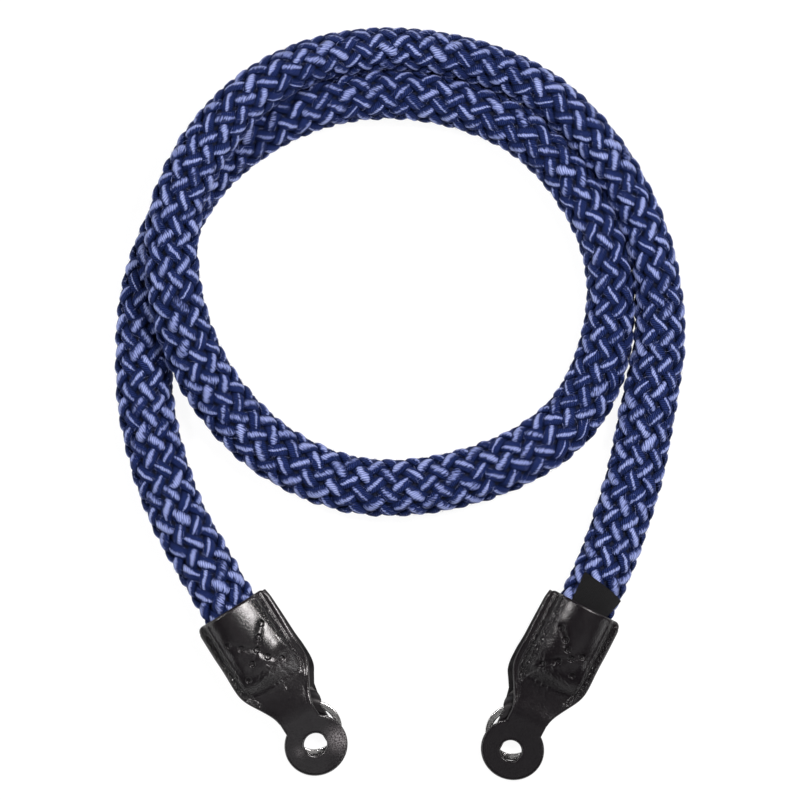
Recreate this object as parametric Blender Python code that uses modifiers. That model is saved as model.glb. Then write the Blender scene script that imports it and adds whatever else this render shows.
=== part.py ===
"""Braided camera strap, laid flat in a turn and a half.

One oval braided rope runs between two sewn leather ends. Each end has a front leather
with a round tab and hole, a back leather folded through a split ring, and the ring.
A bare woven label is tucked under the right front leather.

The strap lies on the surface z = 0, the origin is the middle of its outline there,
X runs to the right and Y up as the strap is seen from above.
"""
import math

import bmesh
import bpy
import numpy as np
from mathutils import Matrix, Vector

MM = 0.001

# Gap kept between two pieces that touch on the real strap
GAP = 0.3 * MM

# The rope where nothing squeezes it
ROPE_WIDTH = 17.9 * MM
ROPE_HEIGHT = 12.7 * MM
ROPE_SIDES = 16
ROPE_STATIONS = 79

# How far the rope runs into each leather end, and how much its height is squeezed there
ROPE_INSET = 22.4 * MM
MOUTH_SQUEEZE = 0.92
INSET_SQUEEZE = 0.70
INSET_NARROWING = 0.95

# Leather of both ends. The hole's distance is from the mouth. The sewn flanges start at a
# share of the half width, and the arch's power sets how full its cross section is.
LEATHER = 1.5 * MM
SLEEVE_HALF_WIDTH = 12.8 * MM
HOLE_DISTANCE = 51.5 * MM
TAB_RADIUS = 10.2 * MM
NECK_HALF_WIDTH = 0.49
TAB_CLOSING_ANGLE = 173.0
TAB_TURNS = 12
HOLE_SIDES = 32
FLANGE_START = 0.85
ARCH_POWER = 0.5
FRONT_COLUMNS = 15
BACK_COLUMNS = 13

# The back leather's strip, folded through the ring
STRIP_HALF_WIDTH = 5.0 * MM
STRIP_NEAR_WIDENING = 1.12
STRIP_FOLD_WIDENING = 1.05
LOOP_HEIGHT = 2.8 * MM
LOOP_TURNS = 6

# Split ring: two turns of flat wire, and how far its middle lies from the tab's hole,
# back towards the mouth and over to one side
RING_RADIUS = 8.9 * MM
WIRE_WIDTH = 2.1 * MM
WIRE_HEIGHT = 0.9 * MM
TURN_GAP = 0.1 * MM
RING_BACK = 4.8 * MM
RING_OFFSET = 2.3 * MM
WIRE_CORNER = 0.25 * MM
STEP_HALF_ANGLE = 22.0
RING_STATIONS = 54

# Woven label, wrapped over the rope: its length along it, and the angles it spans
LABEL_LENGTH = 10.8 * MM
LABEL_TUCK = 2.4 * MM
LABEL_THICKNESS = 0.7 * MM
LABEL_FROM = 24.0
LABEL_TO = 122.0
LABEL_SKEW = 1.6 * MM
LABEL_ROWS = 9
LABEL_COLUMNS = 13

# Where the rope enters each end, which way the end points, the side that the ring is on,
# the radius of the tab's hole, and whether the label is tucked in
LEFT_END = {
    "x": -54.2 * MM, "y": -65.2 * MM, "heading": -57.9, "hand": 1,
    "hole_radius": 3.9 * MM, "label": False,
}
RIGHT_END = {
    "x": 59.4 * MM, "y": -64.4 * MM, "heading": -117.1, "hand": -1,
    "hole_radius": 3.6 * MM, "label": True,
}

# The rope's route between the two mouths, chosen by hand, in millimetres.
# Columns: x, y, lift of the underside, width and height. The last three are shares of
# the rope's own height, width and height: it is rounder where two passes press together,
# stands on its edge along the top, and lifts over the other pass on the left.
ROUTE = [
    (-61.6, -52.4, 0.02, 1.00, 1.00),
    (-71.2, -35.4, 0.00, 1.00, 1.00),
    (-77.3, -18.7, 0.00, 1.00, 1.00),
    (-81.2, -1.1, 0.00, 1.00, 1.00),
    (-82.1, 17.0, 0.00, 1.00, 1.00),
    (-80.8, 35.0, 0.00, 1.00, 1.00),
    (-75.2, 53.0, 0.00, 1.00, 1.00),
    (-65.5, 70.9, 0.00, 0.98, 1.03),
    (-50.9, 84.6, 0.00, 0.95, 1.07),
    (-32.3, 94.2, 0.00, 0.90, 1.14),
    (-12.6, 98.8, 0.00, 0.88, 1.17),
    (8.0, 98.3, 0.00, 0.88, 1.17),
    (26.5, 93.4, 0.00, 0.87, 1.18),
    (42.2, 84.6, 0.00, 0.85, 1.21),
    (55.5, 70.1, 0.00, 0.84, 1.22),
    (64.4, 52.9, 0.00, 0.83, 1.24),
    (67.4, 34.1, 0.00, 0.85, 1.21),
    (65.1, 16.8, 0.00, 0.94, 1.08),
    (56.6, -2.0, 0.00, 1.00, 1.00),
    (42.9, -14.1, 0.00, 1.00, 1.00),
    (26.6, -21.6, 0.00, 1.00, 1.00),
    (5.8, -26.2, 0.00, 1.00, 1.00),
    (-15.4, -25.6, 0.00, 1.00, 1.00),
    (-34.2, -18.6, 0.01, 1.00, 1.00),
    (-51.0, -6.2, 0.09, 1.00, 1.00),
    (-62.6, 9.1, 0.39, 0.99, 1.01),
    (-69.6, 25.2, 0.76, 0.98, 1.03),
    (-72.9, 42.0, 0.97, 0.96, 1.05),
    (-72.6, 58.2, 1.03, 0.94, 1.08),
    (-66.4, 76.0, 1.03, 0.92, 1.10),
    (-56.4, 90.8, 0.96, 0.87, 1.17),
    (-42.4, 103.2, 0.75, 0.81, 1.26),
    (-25.6, 111.1, 0.37, 0.77, 1.32),
    (-6.4, 114.3, 0.07, 0.76, 1.34),
    (12.6, 113.0, 0.00, 0.76, 1.34),
    (29.8, 108.6, 0.00, 0.77, 1.33),
    (45.6, 101.0, 0.00, 0.78, 1.31),
    (60.0, 88.8, 0.00, 0.79, 1.29),
    (71.2, 73.7, 0.00, 0.80, 1.28),
    (79.2, 56.4, 0.00, 0.81, 1.26),
    (83.2, 38.2, 0.00, 0.84, 1.22),
    (83.4, 19.0, 0.00, 0.91, 1.12),
    (79.8, 0.2, 0.00, 0.98, 1.03),
    (75.6, -19.7, 0.00, 1.00, 1.00),
    (70.6, -37.0, 0.00, 1.00, 1.00),
    (65.0, -52.2, 0.04, 1.00, 1.00),
]

# Front leather from its mouth to where the tab's plane begins.
# Columns: distance along (share of the hole's distance), half width (share of the
# sleeve's), how much it rises over the rope, how high its sewn edge stands, how far it
# rests on the folded strip, and how far it climbs over the ring.
FRONT_ROWS = [
    (0.000, 0.975, 1.00, 1.00, 0.00, 0.00),
    (0.060, 1.000, 1.00, 1.00, 0.00, 0.00),
    (0.140, 1.000, 0.99, 1.00, 0.00, 0.00),
    (0.220, 1.000, 0.96, 1.00, 0.00, 0.00),
    (0.290, 0.990, 0.92, 0.99, 0.00, 0.00),
    (0.350, 0.990, 0.90, 0.97, 0.00, 0.00),
    (0.410, 1.000, 0.85, 0.90, 0.00, 0.00),
    (0.455, 1.000, 0.77, 0.78, 0.00, 0.00),
    (0.500, 0.990, 0.56, 0.58, 0.10, 0.00),
    (0.540, 0.940, 0.34, 0.38, 0.45, 0.00),
    (0.580, 0.860, 0.17, 0.20, 0.85, 0.00),
    (0.620, 0.760, 0.06, 0.08, 1.00, 0.06),
    (0.660, 0.670, 0.00, 0.00, 1.00, 0.45),
    (0.700, 0.580, 0.00, 0.00, 1.00, 0.98),
    (0.735, 0.520, 0.00, 0.00, 1.00, 1.17),
]

# Back leather from its mouth to where its strip meets the ring.
# Columns: distance along and half width as above, how high its sewn edge stands, and
# how far it has moved over to the ring's side (share of the ring's offset).
BACK_ROWS = [
    (0.010, 0.960, 1.00, 0.20),
    (0.070, 0.985, 1.00, 0.25),
    (0.160, 0.985, 1.00, 0.30),
    (0.260, 0.975, 0.99, 0.40),
    (0.350, 0.965, 0.97, 0.50),
    (0.410, 0.965, 0.90, 0.60),
    (0.455, 0.950, 0.78, 0.70),
    (0.500, 0.930, 0.56, 0.80),
    (0.540, 0.890, 0.30, 0.90),
    (0.580, 0.820, 0.12, 1.00),
    (0.620, 0.720, 0.03, 1.00),
    (0.670, 0.600, 0.00, 1.00),
]

# The strip's returning end, above the back leather.
# Columns: distance back from the ring's middle (share of its radius), and the height of
# its lower face from the sewn level to the top of the loop.
TAIL_ROWS = [
    (0.90, 1.06),
    (1.00, 1.12),
    (1.10, 1.04),
    (1.22, 0.72),
    (1.35, 0.34),
    (1.50, 0.10),
    (1.70, 0.03),
]

# Levels, worked out from the sizes above
SEAT = LEATHER + GAP
SQUEEZED = ROPE_HEIGHT * MOUTH_SQUEEZE
FLANGE_LEVEL = SEAT + SQUEEZED / 2
NECK_LEVEL = SEAT + LEATHER + GAP
LOOP_LEVEL = LEATHER + LOOP_HEIGHT
HUMP_LEVEL = LOOP_LEVEL + LEATHER + GAP
RING_HEIGHT = 2 * WIRE_HEIGHT + TURN_GAP
RING_DISTANCE = HOLE_DISTANCE - RING_BACK
RING_BORE = RING_RADIUS - WIRE_WIDTH
STRIP_SAG = RING_BORE - math.sqrt(RING_BORE**2 - STRIP_HALF_WIDTH**2)
RING_TILT = math.atan(SEAT / (2 * RING_RADIUS - WIRE_WIDTH - STRIP_SAG))
PLANE_START = RING_DISTANCE - RING_BORE
PLANE_END = RING_DISTANCE + RING_RADIUS
PLANE_SLOPE = (HUMP_LEVEL + GAP - RING_HEIGHT) / (PLANE_END - PLANE_START)
TAB_TILT = math.atan(PLANE_SLOPE)


def clear_scene():
    """Remove the objects that a new file holds."""
    for item in list(bpy.data.objects):
        bpy.data.objects.remove(item, do_unlink=True)


def new_collection(name):
    """Add a collection to the scene."""
    group = bpy.data.collections.new(name)
    bpy.context.scene.collection.children.link(group)
    return group


def new_material(name, color, roughness, metallic=0.0):
    """A plain Principled material."""
    material = bpy.data.materials.new(name)
    material.use_nodes = True
    shader = material.node_tree.nodes["Principled BSDF"]
    shader.inputs["Base Color"].default_value = (*color, 1.0)
    shader.inputs["Roughness"].default_value = roughness
    shader.inputs["Metallic"].default_value = metallic
    return material


def add_object(name, data, group, material=None):
    """Link an object and give it its material."""
    item = bpy.data.objects.new(name, data)
    group.objects.link(item)
    if material:
        data.materials.append(material)
    return item


def add_helper(name, data, group):
    """Link a cutter or a guide, which isn't part of the strap."""
    item = add_object(name, data, group)
    item.hide_render = True
    item.display_type = "WIRE"
    return item


def grid_mesh(name, rows, flip=False, closed=False, capped=False):
    """A mesh of quads between rows of points; closed rows join end to start."""
    mesh = bpy.data.meshes.new(name)
    shape = bmesh.new()
    lines = [[shape.verts.new(point) for point in row] for row in rows]
    count = len(rows[0])
    last = count if closed else count - 1
    for lower, upper in zip(lines, lines[1:]):
        for i in range(last):
            j = (i + 1) % count
            corners = [lower[i], lower[j], upper[j], upper[i]]
            shape.faces.new(corners[::-1] if flip else corners)
    if capped:
        shape.faces.new(lines[0] if flip else lines[0][::-1])
        shape.faces.new(lines[-1][::-1] if flip else lines[-1])
    shape.to_mesh(mesh)
    shape.free()
    mesh.shade_smooth()
    return mesh


def thicken(item, thickness):
    """Give an open surface its wall, on the side its normals point to."""
    wall = item.modifiers.new("wall", "SOLIDIFY")
    wall.thickness = thickness
    wall.offset = 1.0
    wall.use_even_offset = True


def end_frame(end):
    """The end's axes: along towards the tab, across to the left of that, and up."""
    turn = Matrix.Rotation(math.radians(end["heading"]), 4, "Z")
    return Matrix.Translation((end["x"], end["y"], 0.0)) @ turn


def end_point(end, along, across, height):
    """A point of a leather end, in the strap's frame; across is towards the ring's side."""
    return end_frame(end) @ Vector((along, across * end["hand"], height))


def inset_rows(end):
    """The rope's route from the mouth to its end inside the leather."""
    rows = []
    for share in (0.0, 0.5, 1.0):
        place = end_point(end, share * ROPE_INSET, 0.0, 0.0)
        height = MOUTH_SQUEEZE + (INSET_SQUEEZE - MOUTH_SQUEEZE) * share**1.5
        width = 1.0 + (INSET_NARROWING - 1.0) * share
        rows.append((place.x, place.y, SEAT, width * ROPE_WIDTH, height * ROPE_HEIGHT))
    return rows


def route_rows():
    """All the route's rows from end to end: x, y, underside, width and height in metres."""
    middle = []
    for x, y, lift, wide, tall in ROUTE:
        under = lift * (ROPE_HEIGHT + GAP)
        middle.append((x * MM, y * MM, under, wide * ROPE_WIDTH, tall * ROPE_HEIGHT))
    return np.array(inset_rows(LEFT_END)[::-1] + middle + inset_rows(RIGHT_END))


def spline_slopes(places, values):
    """Slopes at each place that make a smooth cubic curve through the values."""
    count = len(places)
    step = np.diff(places)
    system = np.zeros((count, count))
    sides = np.zeros_like(values)
    rise = np.diff(values, axis=0) / step[:, None]
    system[0, :2] = (2.0, 1.0)
    system[-1, -2:] = (1.0, 2.0)
    sides[0] = 3 * rise[0]
    sides[-1] = 3 * rise[-1]
    for i in range(1, count - 1):
        system[i, i - 1] = step[i]
        system[i, i] = 2 * (step[i - 1] + step[i])
        system[i, i + 1] = step[i - 1]
        sides[i] = 3 * (step[i] * rise[i - 1] + step[i - 1] * rise[i])
    return np.linalg.solve(system, sides)


def smooth_curve(values, samples):
    """Evenly spaced samples of the smooth curve through rows whose first two are x, y."""
    places = np.concatenate([[0.0], np.cumsum(np.hypot(*np.diff(values[:, :2], axis=0).T))])
    slopes = spline_slopes(places, values)
    fine = np.linspace(0.0, places[-1], samples * 20)
    index = np.clip(np.searchsorted(places, fine) - 1, 0, len(places) - 2)
    width = (places[index + 1] - places[index])[:, None]
    t = ((fine - places[index])[:, None]) / width
    curve = (
        (1 + 2 * t) * (1 - t) ** 2 * values[index]
        + t * (1 - t) ** 2 * width * slopes[index]
        + t**2 * (3 - 2 * t) * values[index + 1]
        + t**2 * (t - 1) * width * slopes[index + 1]
    )
    lengths = np.concatenate([[0.0], np.cumsum(np.hypot(*np.diff(curve[:, :2], axis=0).T))])
    even = np.linspace(0.0, lengths[-1], samples)
    return np.array([np.interp(even, lengths, column) for column in curve.T]).T


def rope_stations(samples):
    """Centres, side and up directions, widths and heights along the rope."""
    rows = smooth_curve(route_rows(), samples)
    under = np.maximum(rows[:, 2], 0.0)
    centres = np.column_stack([rows[:, 0], rows[:, 1], under + rows[:, 4] / 2])
    tangents = np.gradient(centres, axis=0)
    tangents /= np.linalg.norm(tangents, axis=1)[:, None]
    sides = np.cross([0.0, 0.0, 1.0], tangents)
    sides /= np.linalg.norm(sides, axis=1)[:, None]
    ups = np.cross(tangents, sides)
    return centres, sides, ups, rows[:, 3], rows[:, 4]


def make_rope(group):
    """The braided rope as one oval tube, flatter or rounder as the route says."""
    centres, sides, ups, widths, heights = rope_stations(ROPE_STATIONS)
    rows = []
    for centre, side, up, width, height in zip(centres, sides, ups, widths, heights):
        row = []
        for k in range(ROPE_SIDES):
            angle = 2 * math.pi * k / ROPE_SIDES
            point = centre + side * (width / 2 * math.cos(angle)) + up * (height / 2 * math.sin(angle))
            row.append(point)
        rows.append(row)
    mesh = grid_mesh("braided_rope", rows, closed=True, capped=True)
    material = new_material("navy braid", (0.022, 0.035, 0.14), 0.8)
    return add_object("braided_rope", mesh, group, material)


def arch(share):
    """Height of a leather's cross section: 1 over the middle, 0 on the sewn edge."""
    inner = max(0.0, 1.0 - (share / FLANGE_START) ** 2)
    return inner**ARCH_POWER


def across_shares(count):
    """Places across a leather, closer together towards its edges."""
    return [math.sin(math.pi / 2 * (2 * k / (count - 1) - 1)) for k in range(count)]


def plane_height(along):
    """Lower face of the straight stretch from the ring's near side to the tab's tip."""
    return RING_HEIGHT + GAP + (PLANE_END - along) * PLANE_SLOPE


def front_sections(end):
    """Sections of the front leather: distance, half width, middle and edge heights."""
    cover = SEAT + SQUEEZED + GAP
    if end["label"]:
        cover += LABEL_THICKNESS + GAP
    sections = []
    for along, half, rope, edge, stack, loop in FRONT_ROWS:
        base = SEAT + stack * (NECK_LEVEL - SEAT) + loop * (HUMP_LEVEL - NECK_LEVEL)
        middle = base + rope * (cover - SEAT)
        side = base + edge * (FLANGE_LEVEL + GAP / 2 - SEAT)
        sections.append((along * HOLE_DISTANCE, half * SLEEVE_HALF_WIDTH, middle, side))
    neck = NECK_HALF_WIDTH * SLEEVE_HALF_WIDTH
    start = math.asin(neck / TAB_RADIUS)
    level = plane_height(PLANE_START)
    sections.append((PLANE_START, neck, level, level))
    for k in range(TAB_TURNS):
        angle = start + (math.radians(TAB_CLOSING_ANGLE) - start) * k / (TAB_TURNS - 1)
        along = HOLE_DISTANCE - TAB_RADIUS * math.cos(angle) * math.cos(TAB_TILT)
        level = plane_height(along)
        sections.append((along, TAB_RADIUS * math.sin(angle), level, level))
    return sections


def make_front(end, side, groups):
    """Front leather: arched over the rope, flat along its sewn edges, ending in the tab."""
    shares = across_shares(FRONT_COLUMNS)
    rows = []
    for along, half, middle, edge in front_sections(end):
        row = []
        for share in shares:
            height = edge + (middle - edge) * arch(share)
            row.append(end_point(end, along, share * half, height))
        rows.append(row)
    mesh = grid_mesh(f"leather_front_{side}", rows, flip=end["hand"] > 0)
    material = new_material(f"black leather front {side}", (0.012, 0.011, 0.012), 0.42)
    item = add_object(f"leather_front_{side}", mesh, groups["strap"], material)
    thicken(item, LEATHER)
    cut_hole(item, end, side, groups["cutters"])
    return item


def cut_hole(item, end, side, group):
    """Bore the tab's hole square to the tab's plane."""
    shape = bmesh.new()
    radius = end["hole_radius"]
    bmesh.ops.create_cone(
        shape, cap_ends=True, segments=HOLE_SIDES, radius1=radius, radius2=radius, depth=12 * LEATHER
    )
    mesh = bpy.data.meshes.new(f"hole_{side}")
    shape.to_mesh(mesh)
    shape.free()
    cutter = add_helper(f"hole_{side}", mesh, group)
    tilt = Matrix.Rotation(TAB_TILT, 4, "Y")
    place = Matrix.Translation((HOLE_DISTANCE, 0.0, plane_height(HOLE_DISTANCE)))
    cutter.matrix_world = end_frame(end) @ place @ tilt
    cut = item.modifiers.new("hole", "BOOLEAN")
    cut.operation = "DIFFERENCE"
    cut.object = cutter


def strip_point(end, along, share, half, height):
    """A point of the strip near the ring, its line bent to follow the ring's bore."""
    across = share * half
    sag = RING_BORE - math.sqrt(RING_BORE**2 - across**2)
    return end_point(end, along + sag, RING_OFFSET + across, height)


def back_rows(end, shares):
    """Rows of points on the back leather's inner face, from its mouth to the strip's end."""
    rows = []
    for along, half, edge, shift in BACK_ROWS:
        level = LEATHER + edge * (FLANGE_LEVEL - GAP / 2 - LEATHER)
        row = []
        for share in shares:
            across = share * half * SLEEVE_HALF_WIDTH + shift * RING_OFFSET
            height = level + (LEATHER - level) * arch(across / (half * SLEEVE_HALF_WIDTH))
            row.append(end_point(end, along * HOLE_DISTANCE, across, height))
        rows.append(row)
    near = RING_DISTANCE - RING_RADIUS
    fold = RING_DISTANCE - RING_BORE
    for along, widening in ((near, STRIP_NEAR_WIDENING), (fold, STRIP_FOLD_WIDENING)):
        half = widening * STRIP_HALF_WIDTH
        rows.append([strip_point(end, along, share, half, LEATHER) for share in shares])
    radius = LOOP_HEIGHT / 2
    for k in range(1, LOOP_TURNS + 1):
        angle = math.pi * k / LOOP_TURNS
        along = fold + radius * math.sin(angle)
        height = LEATHER + radius * (1 - math.cos(angle))
        rows.append([strip_point(end, along, s, STRIP_HALF_WIDTH, height) for s in shares])
    for back, rise in TAIL_ROWS:
        along = RING_DISTANCE - back * RING_RADIUS
        height = SEAT + rise * (LOOP_LEVEL - SEAT)
        rows.append([strip_point(end, along, s, STRIP_HALF_WIDTH, height) for s in shares])
    return rows


def make_back(end, side, group):
    """Back leather: under the rope, sewn to the front, folded through the ring and back."""
    rows = back_rows(end, across_shares(BACK_COLUMNS))
    mesh = grid_mesh(f"leather_back_{side}", rows, flip=end["hand"] < 0)
    material = new_material(f"black leather back {side}", (0.014, 0.013, 0.013), 0.5)
    item = add_object(f"leather_back_{side}", mesh, group, material)
    thicken(item, LEATHER)
    return item


def wire_profile(side, group):
    """The flat wire's section, a rectangle with small round corners."""
    curve = bpy.data.curves.new(f"wire_profile_{side}", "CURVE")
    curve.dimensions = "2D"
    across = WIRE_WIDTH / 2
    tall = WIRE_HEIGHT / 2
    inner = WIRE_CORNER
    corners = [
        (across, tall - inner), (across - inner, tall), (inner - across, tall), (-across, tall - inner),
        (-across, inner - tall), (inner - across, -tall), (across - inner, -tall), (across, inner - tall),
    ]
    line = curve.splines.new("POLY")
    line.points.add(len(corners) - 1)
    for point, (x, y) in zip(line.points, reversed(corners)):
        point.co = (x, y, 0.0, 1.0)
    line.use_cyclic_u = True
    return add_helper(f"wire_profile_{side}", curve, group)


def make_ring(end, side, groups):
    """Split ring: one flat wire, a lower turn that steps up into an upper turn."""
    curve = bpy.data.curves.new(f"split_ring_{side}", "CURVE")
    curve.dimensions = "3D"
    curve.twist_mode = "Z_UP"
    curve.bevel_mode = "OBJECT"
    curve.bevel_object = wire_profile(side, groups["cutters"])
    curve.use_fill_caps = True
    line = curve.splines.new("POLY")
    line.points.add(RING_STATIONS - 1)
    radius = RING_RADIUS - WIRE_WIDTH / 2
    rise = (WIRE_HEIGHT + TURN_GAP) / 2
    first = STEP_HALF_ANGLE
    last = 720.0 - STEP_HALF_ANGLE
    for k, point in enumerate(line.points):
        angle = first + (last - first) * k / (RING_STATIONS - 1)
        step = min(1.0, max(0.0, (angle - 360.0 + STEP_HALF_ANGLE) / (2 * STEP_HALF_ANGLE)))
        height = rise * (2 * step * step * (3 - 2 * step) - 1)
        turn = math.radians(angle)
        point.co = (radius * math.cos(turn), radius * math.sin(turn), height, 1.0)
    material = new_material(f"polished steel {side}", (0.62, 0.62, 0.64), 0.2, 1.0)
    item = add_object(f"split_ring_{side}", curve, groups["strap"], material)
    level = RING_RADIUS * math.sin(RING_TILT) + RING_HEIGHT / 2 * math.cos(RING_TILT)
    place = Matrix.Translation((RING_DISTANCE, RING_OFFSET * end["hand"], level))
    item.matrix_world = end_frame(end) @ place @ Matrix.Rotation(RING_TILT, 4, "Y")
    return item


def make_label(group):
    """Woven label: a small folded patch wrapped over the rope and tucked in the mouth."""
    centres, sides, ups, widths, heights = rope_stations(ROPE_STATIONS * 12)
    steps = np.linalg.norm(np.diff(centres, axis=0), axis=1)
    lengths = np.concatenate([[0.0], np.cumsum(steps)])
    mouth = lengths[-1] - ROPE_INSET
    rows = []
    for along in np.linspace(LABEL_TUCK - LABEL_LENGTH, LABEL_TUCK, LABEL_ROWS):
        row = []
        for share in np.linspace(0.0, 1.0, LABEL_COLUMNS):
            turn = math.radians(LABEL_FROM + (LABEL_TO - LABEL_FROM) * share)
            slant = LABEL_SKEW * (0.5 - share) * (LABEL_TUCK - along) / LABEL_LENGTH
            i = int(np.searchsorted(lengths, mouth + along + slant))
            out = GAP / min(widths[i], heights[i]) * 2 + 1.0
            across = sides[i] * (widths[i] / 2 * out * math.cos(turn))
            point = centres[i] + across + ups[i] * (heights[i] / 2 * out * math.sin(turn))
            row.append(point)
        rows.append(row)
    mesh = grid_mesh("woven_label", rows)
    material = new_material("black woven label", (0.01, 0.01, 0.011), 0.85)
    item = add_object("woven_label", mesh, group, material)
    thicken(item, LABEL_THICKNESS)
    return item


def main():
    """Build the strap."""
    clear_scene()
    groups = {"strap": new_collection("braided_camera_strap"), "cutters": new_collection("cutters")}
    make_rope(groups["strap"])
    for side, end in (("left", LEFT_END), ("right", RIGHT_END)):
        make_front(end, side, groups)
        make_back(end, side, groups["strap"])
        make_ring(end, side, groups)
    make_label(groups["strap"])


main()
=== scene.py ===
"""The looks of the braided camera strap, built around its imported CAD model.

Lengths in the tables are millimetres or shares, as their comments say. X runs to the right
and Y up as the strap is seen from above, Z is up from the surface that it lies on.
"""
import math

import bmesh
import bpy
import numpy as np
from mathutils import Matrix, Vector
from mathutils.geometry import delaunay_2d_cdt


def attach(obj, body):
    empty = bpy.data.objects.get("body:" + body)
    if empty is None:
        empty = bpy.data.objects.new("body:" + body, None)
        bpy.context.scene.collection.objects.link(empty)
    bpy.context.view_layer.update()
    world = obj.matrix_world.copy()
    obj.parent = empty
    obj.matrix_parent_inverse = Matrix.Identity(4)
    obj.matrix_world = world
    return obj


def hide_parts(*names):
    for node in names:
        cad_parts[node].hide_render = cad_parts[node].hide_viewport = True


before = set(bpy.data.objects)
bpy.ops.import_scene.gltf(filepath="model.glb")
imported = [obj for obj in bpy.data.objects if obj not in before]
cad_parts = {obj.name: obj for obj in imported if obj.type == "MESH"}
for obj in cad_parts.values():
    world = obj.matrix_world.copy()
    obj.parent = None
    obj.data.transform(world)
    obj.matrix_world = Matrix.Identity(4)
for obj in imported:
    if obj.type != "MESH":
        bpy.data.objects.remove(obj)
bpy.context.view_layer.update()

MM = 0.001
CM = 0.01
SEED = 7

# The same sizes as in the CAD model
GAP = 0.3 * MM
ROPE_WIDTH = 17.9 * MM
ROPE_HEIGHT = 12.7 * MM
ROPE_INSET = 22.4 * MM
MOUTH_SQUEEZE = 0.92
INSET_SQUEEZE = 0.70
INSET_NARROWING = 0.95
LEATHER = 1.5 * MM
SLEEVE_HALF_WIDTH = 12.8 * MM
HOLE_DISTANCE = 51.5 * MM
TAB_RADIUS = 10.2 * MM
NECK_HALF_WIDTH = 0.49
FLANGE_START = 0.85
PROFILE_SOFTNESS = 1.3 * MM
STRIP_HALF_WIDTH = 5.0 * MM
STRIP_NEAR_WIDENING = 1.12
STRIP_FOLD_WIDENING = 1.05
LOOP_HEIGHT = 2.8 * MM
RING_RADIUS = 8.9 * MM
WIRE_WIDTH = 2.1 * MM
WIRE_HEIGHT = 0.9 * MM
TURN_GAP = 0.1 * MM
RING_BACK = 4.8 * MM
RING_OFFSET = 2.3 * MM
STEP_HALF_ANGLE = 22.0
LABEL_TUCK = 2.4 * MM
LABEL_THICKNESS = 0.7 * MM
LABEL_TO = 122.0

SEAT = LEATHER + GAP
SQUEEZED = ROPE_HEIGHT * MOUTH_SQUEEZE
FLANGE_LEVEL = SEAT + SQUEEZED / 2
NECK_LEVEL = SEAT + LEATHER + GAP
LOOP_LEVEL = LEATHER + LOOP_HEIGHT
HUMP_LEVEL = LOOP_LEVEL + LEATHER + GAP
RING_DISTANCE = HOLE_DISTANCE - RING_BACK
RING_HEIGHT = 2 * WIRE_HEIGHT + TURN_GAP
RING_BORE = RING_RADIUS - WIRE_WIDTH
STRIP_SAG = RING_BORE - math.sqrt(RING_BORE**2 - STRIP_HALF_WIDTH**2)
RING_TILT = math.atan(SEAT / (2 * RING_RADIUS - WIRE_WIDTH - STRIP_SAG))
PLANE_START = RING_DISTANCE - RING_BORE
PLANE_END = RING_DISTANCE + RING_RADIUS
PLANE_SLOPE = (HUMP_LEVEL + GAP - RING_HEIGHT) / (PLANE_END - PLANE_START)
TAB_TILT = math.atan(PLANE_SLOPE)
GIRTH = math.pi * (ROPE_WIDTH + ROPE_HEIGHT) / 2

# Each end: where the rope enters it, which way it points, the side that its ring is on, the
# radius of the tab's hole and how far it lies off the CAD model's (along, across), the height of
# the label under the leather, how far the arch's crown lies towards the ring, where its smooth
# part ends at the mouth and how much farther out for each millimetre along, how much thinner the
# tab's ring side gets, the depth of its stitches, how strongly its front shines, its pale mottled
# spots of painted sheen from the middle of the hole's place in the CAD model (along, across,
# reach, strength), its stitch holes in two crossed rows (along, across), and its puffs of
# leather: along, across, reach, height
LEFT_END = {
    "side": "left", "x": -54.2 * MM, "y": -65.2 * MM, "heading": -57.9, "hand": 1,
    "hole_radius": 3.7 * MM, "hole_shift": (-0.3, 0.0), "label": 0.0, "crown": -3.0 * MM,
    "smooth": (6.2, 0.12), "skive": 0.80 * MM, "valley": 0.42 * MM,
    "gloss": 0.60,
    "painted_sheen": [(2.2, 7.2, 3.3, 1.0), (-1.0, -5.6, 1.6, 0.25), (-26.5, 4.0, 4.5, 0.15)],
    "cross": [
        [(9.1, 6.0), (12.4, 3.0), (15.6, 0.4), (18.6, -3.2), (22.4, -7.0)],
        [(9.5, -6.8), (12.7, -3.7), (15.6, 0.4), (19.2, 2.2), (22.0, 5.6)],
    ],
    "puffs": [
        (17.0, 7.0, 3.3, 0.70), (25.4, 6.6, 2.2, 0.50), (30.4, 9.0, 1.8, 0.40),
        (14.0, -6.4, 2.6, 0.22), (24.0, -1.0, 2.6, 0.25), (22.0, 3.0, 4.0, 0.65),
    ],
}
RIGHT_END = {
    "side": "right", "x": 59.4 * MM, "y": -64.4 * MM, "heading": -117.1, "hand": -1,
    "hole_radius": 3.4 * MM, "hole_shift": (0.5, 0.3), "label": LABEL_THICKNESS + GAP,
    "crown": 0.0, "smooth": (6.8, 0.0), "skive": 0.0, "valley": 0.50 * MM,
    "gloss": 0.36, "painted_sheen": [],
    "cross": [
        [(9.6, 4.1), (12.4, 1.2), (14.8, -0.9), (17.0, -3.2), (21.6, -5.9)],
        [(22.7, 4.2), (19.6, 0.1), (17.0, -3.2), (14.8, -6.0)],
    ],
    "puffs": [(16.5, 5.0, 2.6, 0.14), (24.4, 7.2, 1.8, 0.35), (18.5, -7.2, 2.4, 0.22)],
}

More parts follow.
